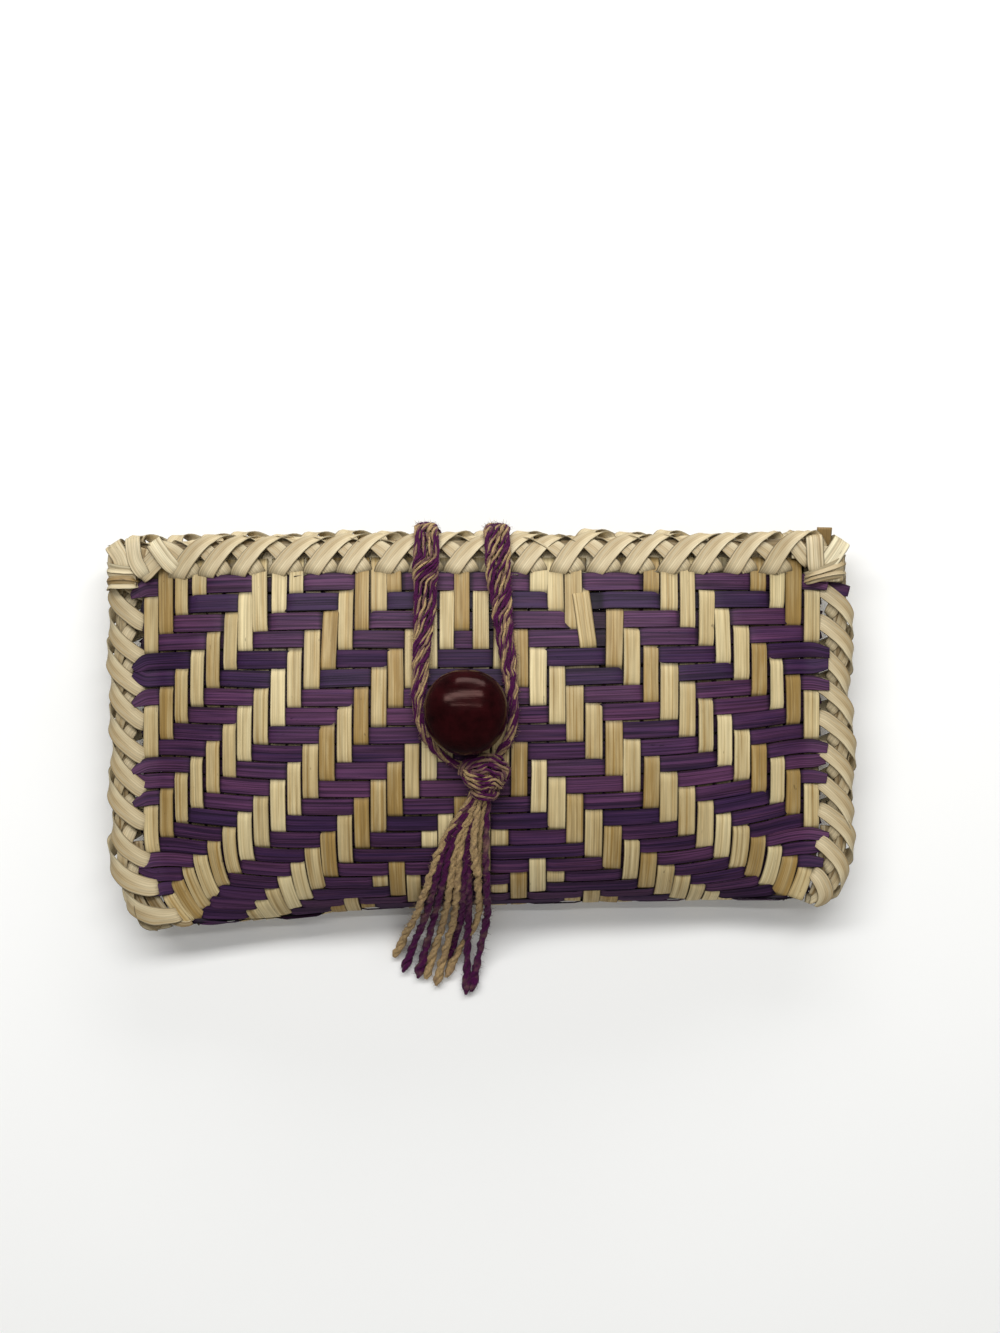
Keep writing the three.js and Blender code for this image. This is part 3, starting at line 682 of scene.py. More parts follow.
def twist_tree():
    """Yarns twisted along a path: set round it, split in two plies, made uneven and round, with loose hairs."""
    node, source = new_tree(
        "twisted_cord", Int=("Yarns", "Seed"), Material=("Material",), Float=(
            "Lay", "Ply Radius", "Ply Lay", "Ply Spread", "Alternate", "Banding", "Uneven", "Hairs",
            "Hair Length"))
    known = {}
    for key in ("run", *YARN_MARKS):
        known[key] = node("GeometryNodeInputNamedAttribute", {"Name": key}, data_type=(
            "FLOAT_VECTOR" if key in ("wide", "thick") else "FLOAT"))
    line = node("GeometryNodeMeshToCurve", {"Mesh": source["Geometry"]})
    run = node("GeometryNodeSplineParameter", out="Length")
    marked = node("GeometryNodeStoreNamedAttribute", {"Geometry": line, "Name": "run", "Value": run})
    placed = node("GeometryNodeDuplicateElements", {
        "Geometry": marked, "Amount": source["Yarns"]}, domain="SPLINE")
    number = placed.node.outputs["Duplicate Index"]
    share = node("ShaderNodeMath", (number, source["Yarns"]), operation="DIVIDE")
    angle = known["run"]
    for value, operation in (
            (source["Lay"], "DIVIDE"), (known["phase"], "ADD"), (share, "ADD"), (WHOLE_TURN, "MULTIPLY")):
        angle = node("ShaderNodeMath", (angle, value), operation=operation)
    for key, operation in (("wide", "COSINE"), ("thick", "SINE")):
        part = node("ShaderNodeMath", (angle,), operation=operation)
        reach = node("ShaderNodeVectorMath", {0: known[key], "Scale": part}, operation="SCALE")
        placed = node("GeometryNodeSetPosition", {"Geometry": placed, "Offset": reach})
    plies = node("GeometryNodeDuplicateElements", {"Geometry": placed, "Amount": 2}, domain="SPLINE")
    ply = plies.node.outputs["Duplicate Index"]
    # Neighbouring yarns share a dye, which shows as slanting bands, three of each dye in one turn
    band = node("ShaderNodeMath", (share, 3 * WHOLE_TURN), operation="MULTIPLY")
    swing = node("ShaderNodeMath", (band,), operation="SINE")
    dye = known["dye"]
    for value, weight in ((swing, source["Banding"]), (ply, source["Alternate"])):
        dye = node("ShaderNodeMath", (value, weight, dye), operation="MULTIPLY_ADD")
    dyed = node("GeometryNodeStoreNamedAttribute", {"Geometry": plies, "Name": "dye", "Value": dye})
    start = node("FunctionNodeRandomValue", {"ID": number, "Seed": source["Seed"]}, 1)
    opposite = node("ShaderNodeMath", (ply, 0.5), operation="MULTIPLY")
    ply_angle = known["run"]
    for value, operation in (
            (source["Ply Lay"], "DIVIDE"), (start, "ADD"), (opposite, "ADD"), (WHOLE_TURN, "MULTIPLY")):
        ply_angle = node("ShaderNodeMath", (ply_angle, value), operation=operation)
    along = node("GeometryNodeInputTangent")
    normal = node("GeometryNodeInputNormal")
    spin = node("ShaderNodeVectorRotate", {
        "Vector": normal, "Axis": along, "Angle": ply_angle}, rotation_type="AXIS_ANGLE")
    radius = node("ShaderNodeMath", (known["plump"], source["Ply Radius"]), operation="MULTIPLY")
    near = node("ShaderNodeMath", (radius, source["Ply Spread"]), operation="MULTIPLY")
    beside = node("ShaderNodeVectorMath", {0: spin, "Scale": near}, operation="SCALE")
    plied = node("GeometryNodeSetPosition", {"Geometry": dyed, "Offset": beside})
    # Lumps about 5 mm long make the yarns uneven
    place = node("GeometryNodeInputPosition")
    lumps = node("ShaderNodeTexNoise", {
        "Vector": place, "Scale": 1 / (5 * MM), "Detail": 1.0}, "Color")
    centred = node("ShaderNodeVectorMath", (lumps, (0.5, 0.5, 0.5)), operation="SUBTRACT")
    shift = node("ShaderNodeVectorMath", {0: centred, "Scale": source["Uneven"]}, operation="SCALE")
    uneven = node("GeometryNodeSetPosition", {"Geometry": plied, "Offset": shift})
    section = node("GeometryNodeCurvePrimitiveCircle", {"Resolution": 6, "Radius": 1.0})
    tube = node("GeometryNodeCurveToMesh", {
        "Curve": uneven, "Profile Curve": section, "Scale": radius, "Fill Caps": True})
    roots = node("GeometryNodeDistributePointsOnFaces", {
        "Mesh": tube, "Density": source["Hairs"], "Seed": source["Seed"]})
    hair = node("GeometryNodeMeshCone", {
        "Vertices": 3, "Radius Top": 0.0, "Radius Bottom": HAIR_RADIUS, "Depth": source["Hair Length"]})
    stray = node("FunctionNodeRandomValue", {
        0: (-1.0, -1.0, -1.0), 1: (1.0, 1.0, 1.0), "Seed": source["Seed"]}, data_type="FLOAT_VECTOR")
    lean = node("ShaderNodeVectorMath", (stray, roots.node.outputs["Normal"]), operation="ADD")
    way = node("FunctionNodeAlignRotationToVector", {"Vector": lean})
    grown = node("FunctionNodeRandomValue", {2: 0.4, 3: 1.2, "Seed": source["Seed"]}, 1)
    hairs = node("GeometryNodeInstanceOnPoints", {
        "Points": roots, "Instance": hair, "Rotation": way, "Scale": grown})
    joined = node("GeometryNodeJoinGeometry", {"Geometry": [hairs, tube]})
    real = node("GeometryNodeRealizeInstances", {"Geometry": joined})
    # Nothing goes through the floor
    above = node("ShaderNodeVectorMath", (place, (-1.0, -1.0, FLOOR_CLEAR)), operation="MAXIMUM")
    lying = node("GeometryNodeSetPosition", {"Geometry": real, "Position": above})
    dressed = node("GeometryNodeSetMaterial", {"Geometry": lying, "Material": source["Material"]})
    node("NodeGroupOutput", {"Geometry": dressed})


def edging_tree():
    """Stitches repeated along a straight line, each a little different, and then bent to the edge's path."""
    node, source = new_tree(
        "plaited_edging", Object=("Over", "Under"), Int=("Count Over", "Count Under", "Seed"),
        Float=("First Over", "First Under", "Pitch"), Vector=("Drift", "Sway", "Spread"),
        Material=("Material",))
    chance = {}
    for label, middle in (("Drift", 0.0), ("Sway", 0.0), ("Spread", 1.0)):
        least, most = (
            node("ShaderNodeVectorMath", ((middle,) * 3, source[label]), operation=operation)
            for operation in ("SUBTRACT", "ADD"))
        chance[label] = node("FunctionNodeRandomValue", {
            0: least, 1: most, "Seed": source["Seed"]}, data_type="FLOAT_VECTOR")
    sway = node("FunctionNodeEulerToRotation", (chance["Sway"],))
    step = node("ShaderNodeCombineXYZ", (source["Pitch"],))
    stitches = []
    for label in ("Over", "Under"):
        first = node("ShaderNodeCombineXYZ", (source["First " + label],))
        holes = node("GeometryNodeMeshLine", {
            "Count": source["Count " + label], "Start Location": first, "Offset": step})
        drifted = node("GeometryNodeSetPosition", {"Geometry": holes, "Offset": chance["Drift"]})
        turn = node("GeometryNodeObjectInfo", {"Object": source[label]}, "Geometry")
        stitches.append(node("GeometryNodeInstanceOnPoints", {
            "Points": drifted, "Instance": turn, "Rotation": sway, "Scale": chance["Spread"]}))
    joined = node("GeometryNodeJoinGeometry", {"Geometry": stitches})
    tone = node("FunctionNodeRandomValue", {"Seed": source["Seed"]}, 1)
    toned = node("GeometryNodeStoreNamedAttribute", {
        "Geometry": joined, "Name": "tone", "Value": tone}, domain="INSTANCE")
    real = node("GeometryNodeRealizeInstances", {"Geometry": toned})
    line = node("GeometryNodeMeshToCurve", {"Mesh": source["Geometry"]})
    outward = node("GeometryNodeInputNamedAttribute", {"Name": "outward"}, data_type="FLOAT_VECTOR")
    place = node("GeometryNodeInputPosition")
    parts = node("ShaderNodeSeparateXYZ", (place,)).node.outputs
    sample = node("GeometryNodeSampleCurve", {
        "Curves": line, "Value": outward, "Length": parts["X"]}, mode="LENGTH", data_type="FLOAT_VECTOR")
    spot = sample.node.outputs
    rise = node("ShaderNodeVectorMath", (spot["Tangent"], spot["Value"]), operation="CROSS_PRODUCT")
    bent = spot["Position"]
    for way, reach in ((spot["Value"], parts["Y"]), (rise, parts["Z"])):
        bent = node("ShaderNodeVectorMath", (way, reach, bent), operation="MULTIPLY_ADD")
    shaped = node("GeometryNodeSetPosition", {"Geometry": real, "Position": bent})
    dressed = node("GeometryNodeSetMaterial", {"Geometry": shaped, "Material": source["Material"]})
    node("NodeGroupOutput", {"Geometry": dressed})


# One turn of an edging strip, from its stitch hole over the front to the outer edge, and back behind.
# Columns: share of its run along the edge, share of the way out, height, and the way it faces, out and up.
RIM_TURN = [
    (0.00, 0.00, -0.90, -0.7, 0.7),
    (0.02, 0.03, 0.20, -0.7, 0.7),
    (0.06, 0.09, 0.85, -0.3, 0.9),
    (0.14, 0.22, 1.04, 0.0, 1.0),
    (0.28, 0.46, 1.10, 0.0, 1.0),
    (0.49, 0.73, 1.04, 0.1, 1.0),
    (0.74, 0.92, 0.76, 0.45, 0.9),
    (1.00, 1.00, 0.00, 1.0, 0.0),
]
SIDE_TURN = [
    (0.00, 0.00, 0.00, -0.7, 0.7),
    (0.03, 0.00, 0.50, -0.4, 0.9),
    (0.10, 0.16, 0.88, -0.1, 1.0),
    (0.26, 0.42, 1.02, 0.0, 1.0),
    (0.46, 0.70, 0.98, 0.2, 1.0),
    (0.70, 0.91, 0.70, 0.5, 0.85),
    (1.00, 1.00, 0.00, 1.0, 0.0),
]
TURN_STEPS = 36
PINCH_SHARE, WAIST_SHARE = 0.12, 0.14
BACK_END, DEEP_END = 0.1, 0.09


def edging_turn(name, half, lean, inner, outer, half_tall, front_run, back_run, width, thick, pinch, waist):
    """One turn of strip round an edge: +X along the edge, +Y out of the bag, +Z to the front."""
    front = [(front_run * run, out, tall, face_out, face_up) for run, out, tall, face_out, face_up in half]
    back = [(front_run + back_run * (1 - run), out, -max(tall, BACK_END), face_out, -face_up)
            for run, out, tall, face_out, face_up in reversed(half[:-1])]
    rows = np.array(front + back)
    way_out = inner + (outer - inner) * rows[:, 1]
    places = np.stack([lean * rows[:, 0], way_out, half_tall * rows[:, 2]], axis=-1)
    run = np.linspace(0, 1, TURN_STEPS)
    known = travelled(places)
    up = np.stack([np.zeros(TURN_STEPS)] + [
        np.interp(run, known / known[-1], rows[:, column]) for column in (3, 4)], axis=-1)
    from_end = np.minimum(run, 1 - run)
    kept = 1 - pinch * (1 - smoothstep(from_end / PINCH_SHARE))
    kept = kept * (1 - waist * np.exp(-((run - 0.5) / WAIST_SHARE) ** 2))
    # Painted shade: the turn darkens towards both ends, where it goes into the mat
    deep = 1 - smoothstep(from_end / DEEP_END)
    strip = make_strip(smooth_path(places, TURN_STEPS), unit(up), 0.5 * width * kept, thick, 0.5, 0.0, deep)
    return bpy.data.objects.new(name, strips_mesh(name, [strip], None))


# How far the stitches of an edging stray: out and up, turned about each axis, and in size.
STITCH_DRIFT = (0.2 * MM, 0.1 * MM)
STITCH_SWAY = (math.radians(2), math.radians(2), math.radians(4))
STITCH_SPREAD = (0.05, 0.03, 0.03)


def bind_edge(name, node, line, over, under, stitches, look, seed, material):
    """Plaited edging along an edge from its line of stitches, as one piece."""
    turns = {"Over": edging_turn(name + "_over", **over), "Under": edging_turn(name + "_under", **under)}
    mesh = grow(path_mesh(name + "_path", [line]), bpy.data.node_groups["plaited_edging"], {
        **turns, **stitches, "Seed": seed, "Material": material, "Drift": (look.drift, *STITCH_DRIFT),
        "Sway": STITCH_SWAY, "Spread": STITCH_SPREAD})
    for turn in turns.values():
        bpy.data.objects.remove(turn)
    add_piece(name, mesh, "natural_straw", node)


# Strips that the edging wraps, along inside it: way out, height and half width, in mm.
SIDE_CORE = [(6.8, 1.2, 1.8), (6.8, -1.2, 1.8), (8.6, 0, 1.4)]
LOW_CORE = [(2.6, 0.5, 2.3)]
RIM_CORE = [(4.6, 0, 1.9)]
CORE_THICK = 1.4 * MM
# Depth of the wrapped strips, which their material paints as shade inside the edging
CORE_DEEP = 0.4


def lay_core(name, node, line, kept, core, look, material):
    """Strips laid along inside an edging over the kept part of its line, as one piece."""
    rng = np.random.default_rng(look.seed)
    points, outward = line["points"][kept], line["outward"][kept]
    size = np.linalg.norm(outward, axis=1)
    rise = np.cross(unit(np.gradient(points, axis=0)), outward)
    strips = []
    for place, (out, tall, half) in enumerate(core):
        centre = points + outward * out * MM + rise * tall * MM
        facing = unit(rise) * (1 if tall >= 0 else -1)
        tone = rng.uniform(0.4, 0.9)
        strips.append(make_strip(centre, facing, half * MM * size, CORE_THICK, tone, place, CORE_DEEP))
    add_piece(name, strips_mesh(name, strips, material), "natural_straw", node)


def rim_line(front):
    """Line of the stitches along one lip, past both ends, with the way out of the bag at each place."""
    x = np.linspace(-RIM_REACH, RIM_REACH, RIM_POINTS) * (1 if front else -1)
    lip = mat_point(x, 0 if front else 2)
    outward = lip - mat_point(x, 0.01 if front else 1.99)
    outward[:, 0] = 0
    return {"points": lip, "outward": unit(outward)}


def side_line(route):
    """Line of the stitches along one side, down the right edge or up the left one, each with its size."""
    rows = np.array(route, float)
    points = smooth_path(np.column_stack([rows[:, :2] * MM, np.full(len(rows), SEAM_HEIGHT)]), SIDE_POINTS)
    ahead = unit(np.gradient(points, axis=0))
    outward = np.stack([-ahead[:, 1], ahead[:, 0], np.zeros(SIDE_POINTS)], axis=-1)
    known = travelled(rows[:, :2])
    size = np.interp(np.linspace(0, 1, SIDE_POINTS), known / known[-1], rows[:, 2])
    return {"points": points, "outward": outward * size[:, None]}


def laid(x, around, lift, rng):
    """Line of a strip over the mat at its heights, and the way it faces."""
    place = mat_point(x, around)
    normal = tilted(rng, mat_normal(x, around), place)
    return place + normal * lift[:, None], normal


def upright_strip(column, look, rng):
    """One undyed strip, from the front lip down, round the fold and up to the back lip."""
    lift = over_under([straw_on_top(column, row) for row in range(1, ROWS + 1)], look.ride)
    lift = np.concatenate([[0, lift[0] / 2], lift, [lift[-1], lift[-1] / 2, 0]])
    row = (np.arange(ROWS)[:, None] + STEPS_IN_CROSSING).ravel()
    row = np.concatenate([[-END_FAR, -END_NEAR], row, [ROWS, ROWS + END_NEAR, ROWS + END_FAR]])
    leaning = LEANING_STRIPS.get(column, rng.normal(0, STRIP_LEAN))
    fade = clamp01(1 - row / LEAN_ROWS)
    lift = lift + np.where(lift > 0, LEAN_RISE, 0) * min(abs(leaning), 1) * smoothstep(fade * 3)
    x = column_x(column + wander(rng, len(row), STRIP_WANDER) + leaning * fade)
    centre, normal = laid(x, around_at(x, row), lift, rng)
    pitch = column_x(column + 0.5) - column_x(column - 0.5)
    uneven = wander(rng, len(row), STRIP_UNEVEN) + rng.normal(0, STRIP_VARIES)
    half = 0.5 * pitch * look.strip_share * (1 + uneven)
    place = column * NEXT_STRIP
    return make_strip(centre, normal, half, look.strip_thick, rng.random(), place, depth_of(lift, look.ride))


def row_strip(row, look, rng):
    """One dyed row from side to side, with its ends turned over the side seams towards the next row."""
    on_top = [not straw_on_top(column, row) for column in range(1, COLUMNS + 1)]
    lift = over_under(on_top, look.ride)
    tip = len(TIP_STEPS)
    lift = np.concatenate([np.full(tip, lift[0]), lift, np.full(tip + 1, lift[-1])])
    in_front = around_at(0.0, row - 0.5) < 1
    left_tip = LEFT_TIP * rng.uniform(0.85, 1.05) if in_front and on_top[0] else SHORT_TIP
    right_tip = RIGHT_TIP * rng.uniform(0.6, 1.1) if in_front and on_top[-1] else SHORT_TIP
    column = (0.5 + np.arange(COLUMNS)[:, None] + STEPS_IN_CROSSING).ravel()
    last = COLUMNS + 0.5
    column = np.concatenate([0.5 - left_tip * TIP_STEPS, column, [last], last + right_tip * TIP_STEPS[::-1]])
    past_left = clamp01((TURN_STARTS - column) / TURN_SPAN)
    past_right = clamp01((column - COLUMNS) / TURN_SPAN)
    rise = TURN_RISE + (TURN_OVER if row % 2 else 0)
    lift = lift + np.where(lift > 0, rise, 0) * np.maximum(past_left, past_right)
    # Two rows that turn into each other meet at their tips, on the left in a point
    closing = LEFT_CLOSING * past_left ** CLOSING_POWER + RIGHT_CLOSING * past_right ** CLOSING_POWER
    at = row - 0.5 + wander(rng, len(column), STRIP_WANDER) + (0.5 if row % 2 else -0.5) * closing
    x = column_x(column)
    around = around_at(x, at)
    centre, normal = laid(x, around, lift, rng)
    pitch = mat_point(x, around_at(x, at - 0.5)) - mat_point(x, around_at(x, at + 0.5))
    half = 0.5 * np.linalg.norm(pitch, axis=1) * look.strip_share * (1 + wander(rng, len(column), ROW_UNEVEN))
    half = half * (1 - LEFT_TAPER * past_left ** TAPER_POWER - RIGHT_TAPER * past_right ** TAPER_POWER)
    half = half * (1 + FOLD_WIDER * np.exp(-((around - 1) / FOLD_SHARE) ** 2))
    place = row * NEXT_STRIP
    return make_strip(centre, normal, half, look.strip_thick, rng.random(), place, depth_of(lift, look.ride))


def fold_strip(seam, look):
    """Where two rows overlap inside the fold, at which the mat bends most."""
    x = column_x(np.linspace(1.5, COLUMNS - 0.5, FOLD_POINTS))
    around = around_at(x, np.full(FOLD_POINTS, float(seam)))
    normal = mat_normal(x, around)
    centre = mat_point(x, around) - FOLD_INSET * normal
    # The overlap inside the fold is painted in full shade
    return make_strip(centre, normal, FOLD_HALF, look.strip_thick, FOLD_TONE, seam, 1.0)


class STRAW_OT_weave(bpy.types.Operator):
    """Weaves the mat of the bag from undyed strips and dyed rows."""
    bl_idname = "straw_bag.weave"
    bl_label = "Weave the mat"

    def execute(self, context):
        look = context.scene.straw_weave
        rng = np.random.default_rng(look.seed)
        straw = palm_leaf("undyed_palm_leaf", look.straw_light, look.straw_dark, gloss=0.44, shine=0.34,
                          grooves=(0.78, 1.13), veins=0.32)
        dyed = palm_leaf("dyed_palm_leaf", look.dye_light, look.dye_dark, gloss=0.46, shine=0.18,
                         grooves=(0.45, 1.7), veins=0.4)
        uprights = [upright_strip(column, look, rng) for column in range(1, COLUMNS + 1)]
        rows = [row_strip(row, look, rng) for row in range(1, ROWS + 1)]
        seams = [seam for seam in range(1, ROWS) if abs(around_at(0.0, seam) - 1) < FOLD_REACH]
        rows += [fold_strip(seam, look) for seam in seams]
        for name, strips, leaf in (("woven_uprights", uprights, straw), ("woven_rows", rows, dyed)):
            add_piece(name, strips_mesh(name, strips, leaf), "woven_straw", "bag_body")
        return {"FINISHED"}


RIM_REACH, CORE_REACH = 140 * MM, 121 * MM
RIM_POINTS, SIDE_POINTS = 120, 160
# Sizes of one turn of the edgings: over the rest, and what differs in the turns that go under.
RIM_OVER = {
    "half": RIM_TURN, "lean": 1, "inner": -6.2 * MM, "half_tall": 2.3 * MM, "front_run": 17 * MM,
    "back_run": 7 * MM, "pinch": 0.12, "waist": 0.36}
RIM_UNDER = {"lean": -1, "half_tall": 1.5 * MM, "inner": -5.6 * MM}
RIM_OUTER = {"rim_front": 8.3 * MM, "rim_back": 9.7 * MM}
UNDER_SHORTER = 1.5 * MM
RIM_STITCHES = {"Count Over": 18, "Count Under": 18, "First Over": 33 * MM, "First Under": 41 * MM}
SIDE_OVER = {
    "half": SIDE_TURN, "lean": 1, "inner": -0.9 * MM, "outer": 11.3 * MM, "half_tall": 3.4 * MM,
    "back_run": 7 * MM, "pinch": 0.2, "waist": 0.1}
SIDE_UNDER = {"lean": -1, "half_tall": 2.2 * MM, "outer": 9.4 * MM, "inner": 3.6 * MM}
UNDER_NARROWER = 0.78
# Lines of the stitches along the sides and round the bottom corners: x and y in mm, size of a stitch.
SIDE_ROUTES = {
    "left": [
        (-98.5, -69.2, 0.3), (-103.6, -71.2, 0.5), (-108.8, -67.6, 0.98), (-112.8, -62, 1.06),
        (-115.9, -55, 1.03), (-117.8, -46, 1), (-118.5, -36, 1), (-118.6, 0, 1), (-118.5, 30, 1),
        (-118.5, 62, 1),
    ],
    "right": [
        (121.2, 62, 1), (121.3, 30, 1), (121.6, 0, 1), (121.8, -30, 1), (121.2, -45, 1), (119.8, -55, 0.96),
        (118.4, -59.4, 0.84), (117.2, -62.8, 0.6), (116.4, -64.8, 0.4),
    ],
}
# Stitches of each side: how many go over and under, where the first of both lie and how far one runs over the
# front, in mm, share of the strip's width, how close they are, and the part of the line at the bottom corner.
SIDE_STITCHES = {
    "left": (12, 10, 8.4, 32, 15.5, 0.98, 1, slice(4, 44)),
    "right": (10, 10, 15, 26.2, 16.5, 0.92, 0.95, slice(-36, -4)),
}
SIDE_MIDDLE = slice(12, -12)


class STRAW_OT_edge(bpy.types.Operator):
    """Plaits the two rims and lashes the two sides."""
    bl_idname = "straw_bag.edge"
    bl_label = "Plait the edges"

    def execute(self, context):
        look = context.scene.straw_edging
        straw = palm_leaf("pale_palm_leaf", look.straw_light, look.straw_dark, gloss=0.42, shine=0.36,
                          grooves=(0.74, 1.15), veins=0.32)
        edging_tree()
        common = {"width": look.strip_width, "thick": look.strip_thick}
        for name, outer in RIM_OUTER.items():
            front = name == "rim_front"
            over = {**RIM_OVER, **common, "outer": outer}
            under = {**over, **RIM_UNDER, "outer": outer - UNDER_SHORTER}
            line = rim_line(front)
            bind_edge(name + "_plait", name, line, over, under, {**RIM_STITCHES, "Pitch": look.rim_pitch}, look,
                      look.seed + front, straw)
            inside = np.abs(line["points"][:, 0]) < CORE_REACH
            lay_core(name + "_core", name, line, inside, RIM_CORE, look, straw)
        for name, (overs, unders, first_over, first_under, run, wide, close, bottom) in SIDE_STITCHES.items():
            over = {**SIDE_OVER, **common, "front_run": run * MM, "width": wide * look.strip_width}
            under = {**over, **SIDE_UNDER, "width": UNDER_NARROWER * look.strip_width}
            stitches = {"Count Over": overs, "Count Under": unders, "First Over": first_over * MM,
                        "First Under": first_under * MM, "Pitch": look.side_pitch * close}
            line, node = side_line(SIDE_ROUTES[name]), "side_lashing_" + name
            bind_edge(node + "_strips", node, line, over, under, stitches, look, look.seed + overs, straw)
            lay_core(node + "_core", node, line, SIDE_MIDDLE, SIDE_CORE, look, straw)
            lay_core(node + "_low_core", node, line, bottom, LOW_CORE, look, straw)
        return {"FINISHED"}


# Strips folded over the top corners, lowest first: width, then places from the low end to the ridge, in mm.
CORNER_STRIPS = {
    "left": [
        (7.2, (-118.6, 50.8), (-114.6, 55.2), (-109.6, 60)),
        (6.4, (-124.2, 53.2), (-125.4, 57.2), (-128.2, 61.4)),
        (5.4, (-117.2, 51.2), (-120.2, 56), (-121.5, 63.4)),
        (5.8, (-106.2, 53), (-109.2, 56.2), (-113.8, 62.4)),
    ],
    "right": [
        (5.6, (117, 55.6), (114.4, 59), (110, 64.6)),
        (6.6, (122.4, 54), (125, 57.4), (128.6, 62.8)),
        (6.2, (119.4, 53), (119.2, 58), (119, 64.4)),
    ],
}
# Folded strips that the corners are bound round: middle x, half width, low and high end y, in mm.
CORNER_PLUGS = {
    "left": [(-125.2, 4.9, 46.6, 60.4), (-117, 4.4, 54.6, 60.2)],
    "right": [(123.4, 6.2, 49, 61.4), (114.6, 4, 57, 62)],
}
# Narrow turns that bind each corner to the side: y at the inner and outer end and width, in mm.
CORNER_TURNS = {
    "left": [
        (53, 54.8, 1.9), (51.9, 53.2, 1.9), (50.8, 51.6, 1.9), (49.7, 50, 1.9), (48.6, 48.4, 1.9),
        (47.6, 46.8, 2)],
    "right": [(50.9, 57.6, 2), (50.5, 56, 1.9), (50.1, 54.4, 1.9), (49.6, 52.8, 2), (49, 51.2, 2)],
}
CORNER_REACH = {"left": (-119.8, -130.8), "right": (115.8, 130.4)}
CORNER_FRONT, CORNER_BACK = 23.7 * MM, 10.4 * MM
CORNER_MIDDLE = (CORNER_FRONT + CORNER_BACK) / 2
CORNER_LAYER = 0.4 * MM
CORNER_STEPS, BIND_STEPS, END_STEPS = 48, 57, 12
CORNER_PINCH, CORNER_PINCH_SHARE = 0.3, 0.15
# The binding's section is a rounded box: it bulges by these powers across and up.
BIND_ACROSS, BIND_UP = 0.6, 0.7
BIND_ROUND = 0.6 * MM
BIND_WRINKLE = 0.25
BIND_BEHIND = 0.2
BIND_CREASES = (-0.45, 0.55)
PLUG_LAYERS = 6
PLUG_THICK = 2 * MM
# Strip ends that stand out at the right corner: half width at both ends, then places, in mm.
STUB_END = (2.7, 2.7, (123.4, 59, 15), (123.4, 64, 16.5), (123.5, 68.4, 18))
ROW_END = (2.8, 1.9, (122.6, 46.8, 18.8), (126, 46.6, 20), (129.2, 46.2, 20.3), (131.8, 45.6, 20))


def corner_strip(places, layer):
    """Line of a strip folded over a corner and the way it faces: up the front, over and down the back."""
    flat = np.array(places, float) * MM
    low, high = flat[0], flat[-1]
    lead, fall = unit(flat[1] - low), unit(high - flat[-2])
    front = CORNER_FRONT + layer * CORNER_LAYER
    turn = high + fall * 1.2 * MM
    # Each row: place, height, and the way it faces, out and up
    rows = (
        (low - 0.6 * MM * lead, front - 2.4 * MM, -0.3, 1), (low, front - 0.4 * MM, -0.1, 1),
        (flat[1], front, 0, 1), (high, front - 1.2 * MM, 0.5, 1),
        (turn, CORNER_MIDDLE + 3 * MM, 1, 0.3), (turn, CORNER_MIDDLE - 3 * MM, 1, -0.3),
        (high, CORNER_BACK + 1 * MM, 0.4, -1), (flat[1], CORNER_BACK, 0, -1))
    points = np.array([(*place, tall) for place, tall, _, _ in rows])
    faces = np.array([(*(fall * out), up) for _, _, out, up in rows])
    known = travelled(points)
    share = np.linspace(0, known[-1], CORNER_STEPS)
    up = np.stack([np.interp(share, known, faces[:, axis]) for axis in range(3)], axis=-1)
    return smooth_path(points, CORNER_STEPS), unit(up)


def corner_plugs(name, rng):
    """Short strips stacked inside a corner."""
    for middle_x, half, low_y, high_y in CORNER_PLUGS[name]:
        for z in np.linspace(CORNER_BACK + 1.3 * MM, CORNER_FRONT - 1.4 * MM, PLUG_LAYERS):
            y = np.linspace(low_y, high_y + rng.uniform(-1.2, 0.6), END_STEPS) * MM
            x = middle_x * MM + wander(rng, END_STEPS, 0.3 * MM, 4)
            centre = np.stack([x, y, np.full(END_STEPS, z)], axis=-1)
            yield make_strip(centre, UP, half * MM * rng.uniform(0.9, 1), PLUG_THICK, rng.uniform(0.3, 1), z)


def corner_turns(name, look, rng):
    """Narrow turns round a corner, each creased against the next."""
    inner, outer = (place * MM for place in CORNER_REACH[name])
    angle = np.linspace(0, WHOLE_TURN, BIND_STEPS)
    half_x, half_z = (outer - inner) / 2, (CORNER_FRONT - CORNER_BACK) / 2 + BIND_ROUND
    share_x = np.sign(np.cos(angle)) * np.abs(np.cos(angle)) ** BIND_ACROSS
    share_z = np.sign(np.sin(angle)) * np.abs(np.sin(angle)) ** BIND_UP
    order = -1 if name == "left" else 1
    for layer, (inner_y, outer_y, width) in enumerate(CORNER_TURNS[name]):
        slope = (outer_y - inner_y) / 2 * share_x * np.where(np.sin(angle) > 0, 1, BIND_BEHIND)
        y = (inner_y + outer_y) / 2 + slope + BIND_WRINKLE * np.sin(3 * angle + layer)
        tall = half_z + CORNER_LAYER * (layer % 2)
        centre = np.stack([
            (inner + outer) / 2 + half_x * share_x, y * MM, CORNER_MIDDLE + tall * share_z], axis=-1)
        crease = np.full(BIND_STEPS, BIND_CREASES[layer % 2])
        up = unit(np.stack([np.sign(half_x) * np.cos(angle), crease, np.sin(angle)], axis=-1))
        tone = rng.uniform(0.2, 0.9)
        yield make_strip(centre[::order], up[::order], width / 2 * MM, look.strip_thick, tone, layer + 1)


def strip_end(row, tone, place, look):
    """Short strip end that lies flat along its places."""
    first, last, *places = row
    half = np.linspace(first, last, END_STEPS) * MM
    return make_strip(smooth_path(np.array(places) * MM, END_STEPS), UP, half, look.strip_thick, tone, place)


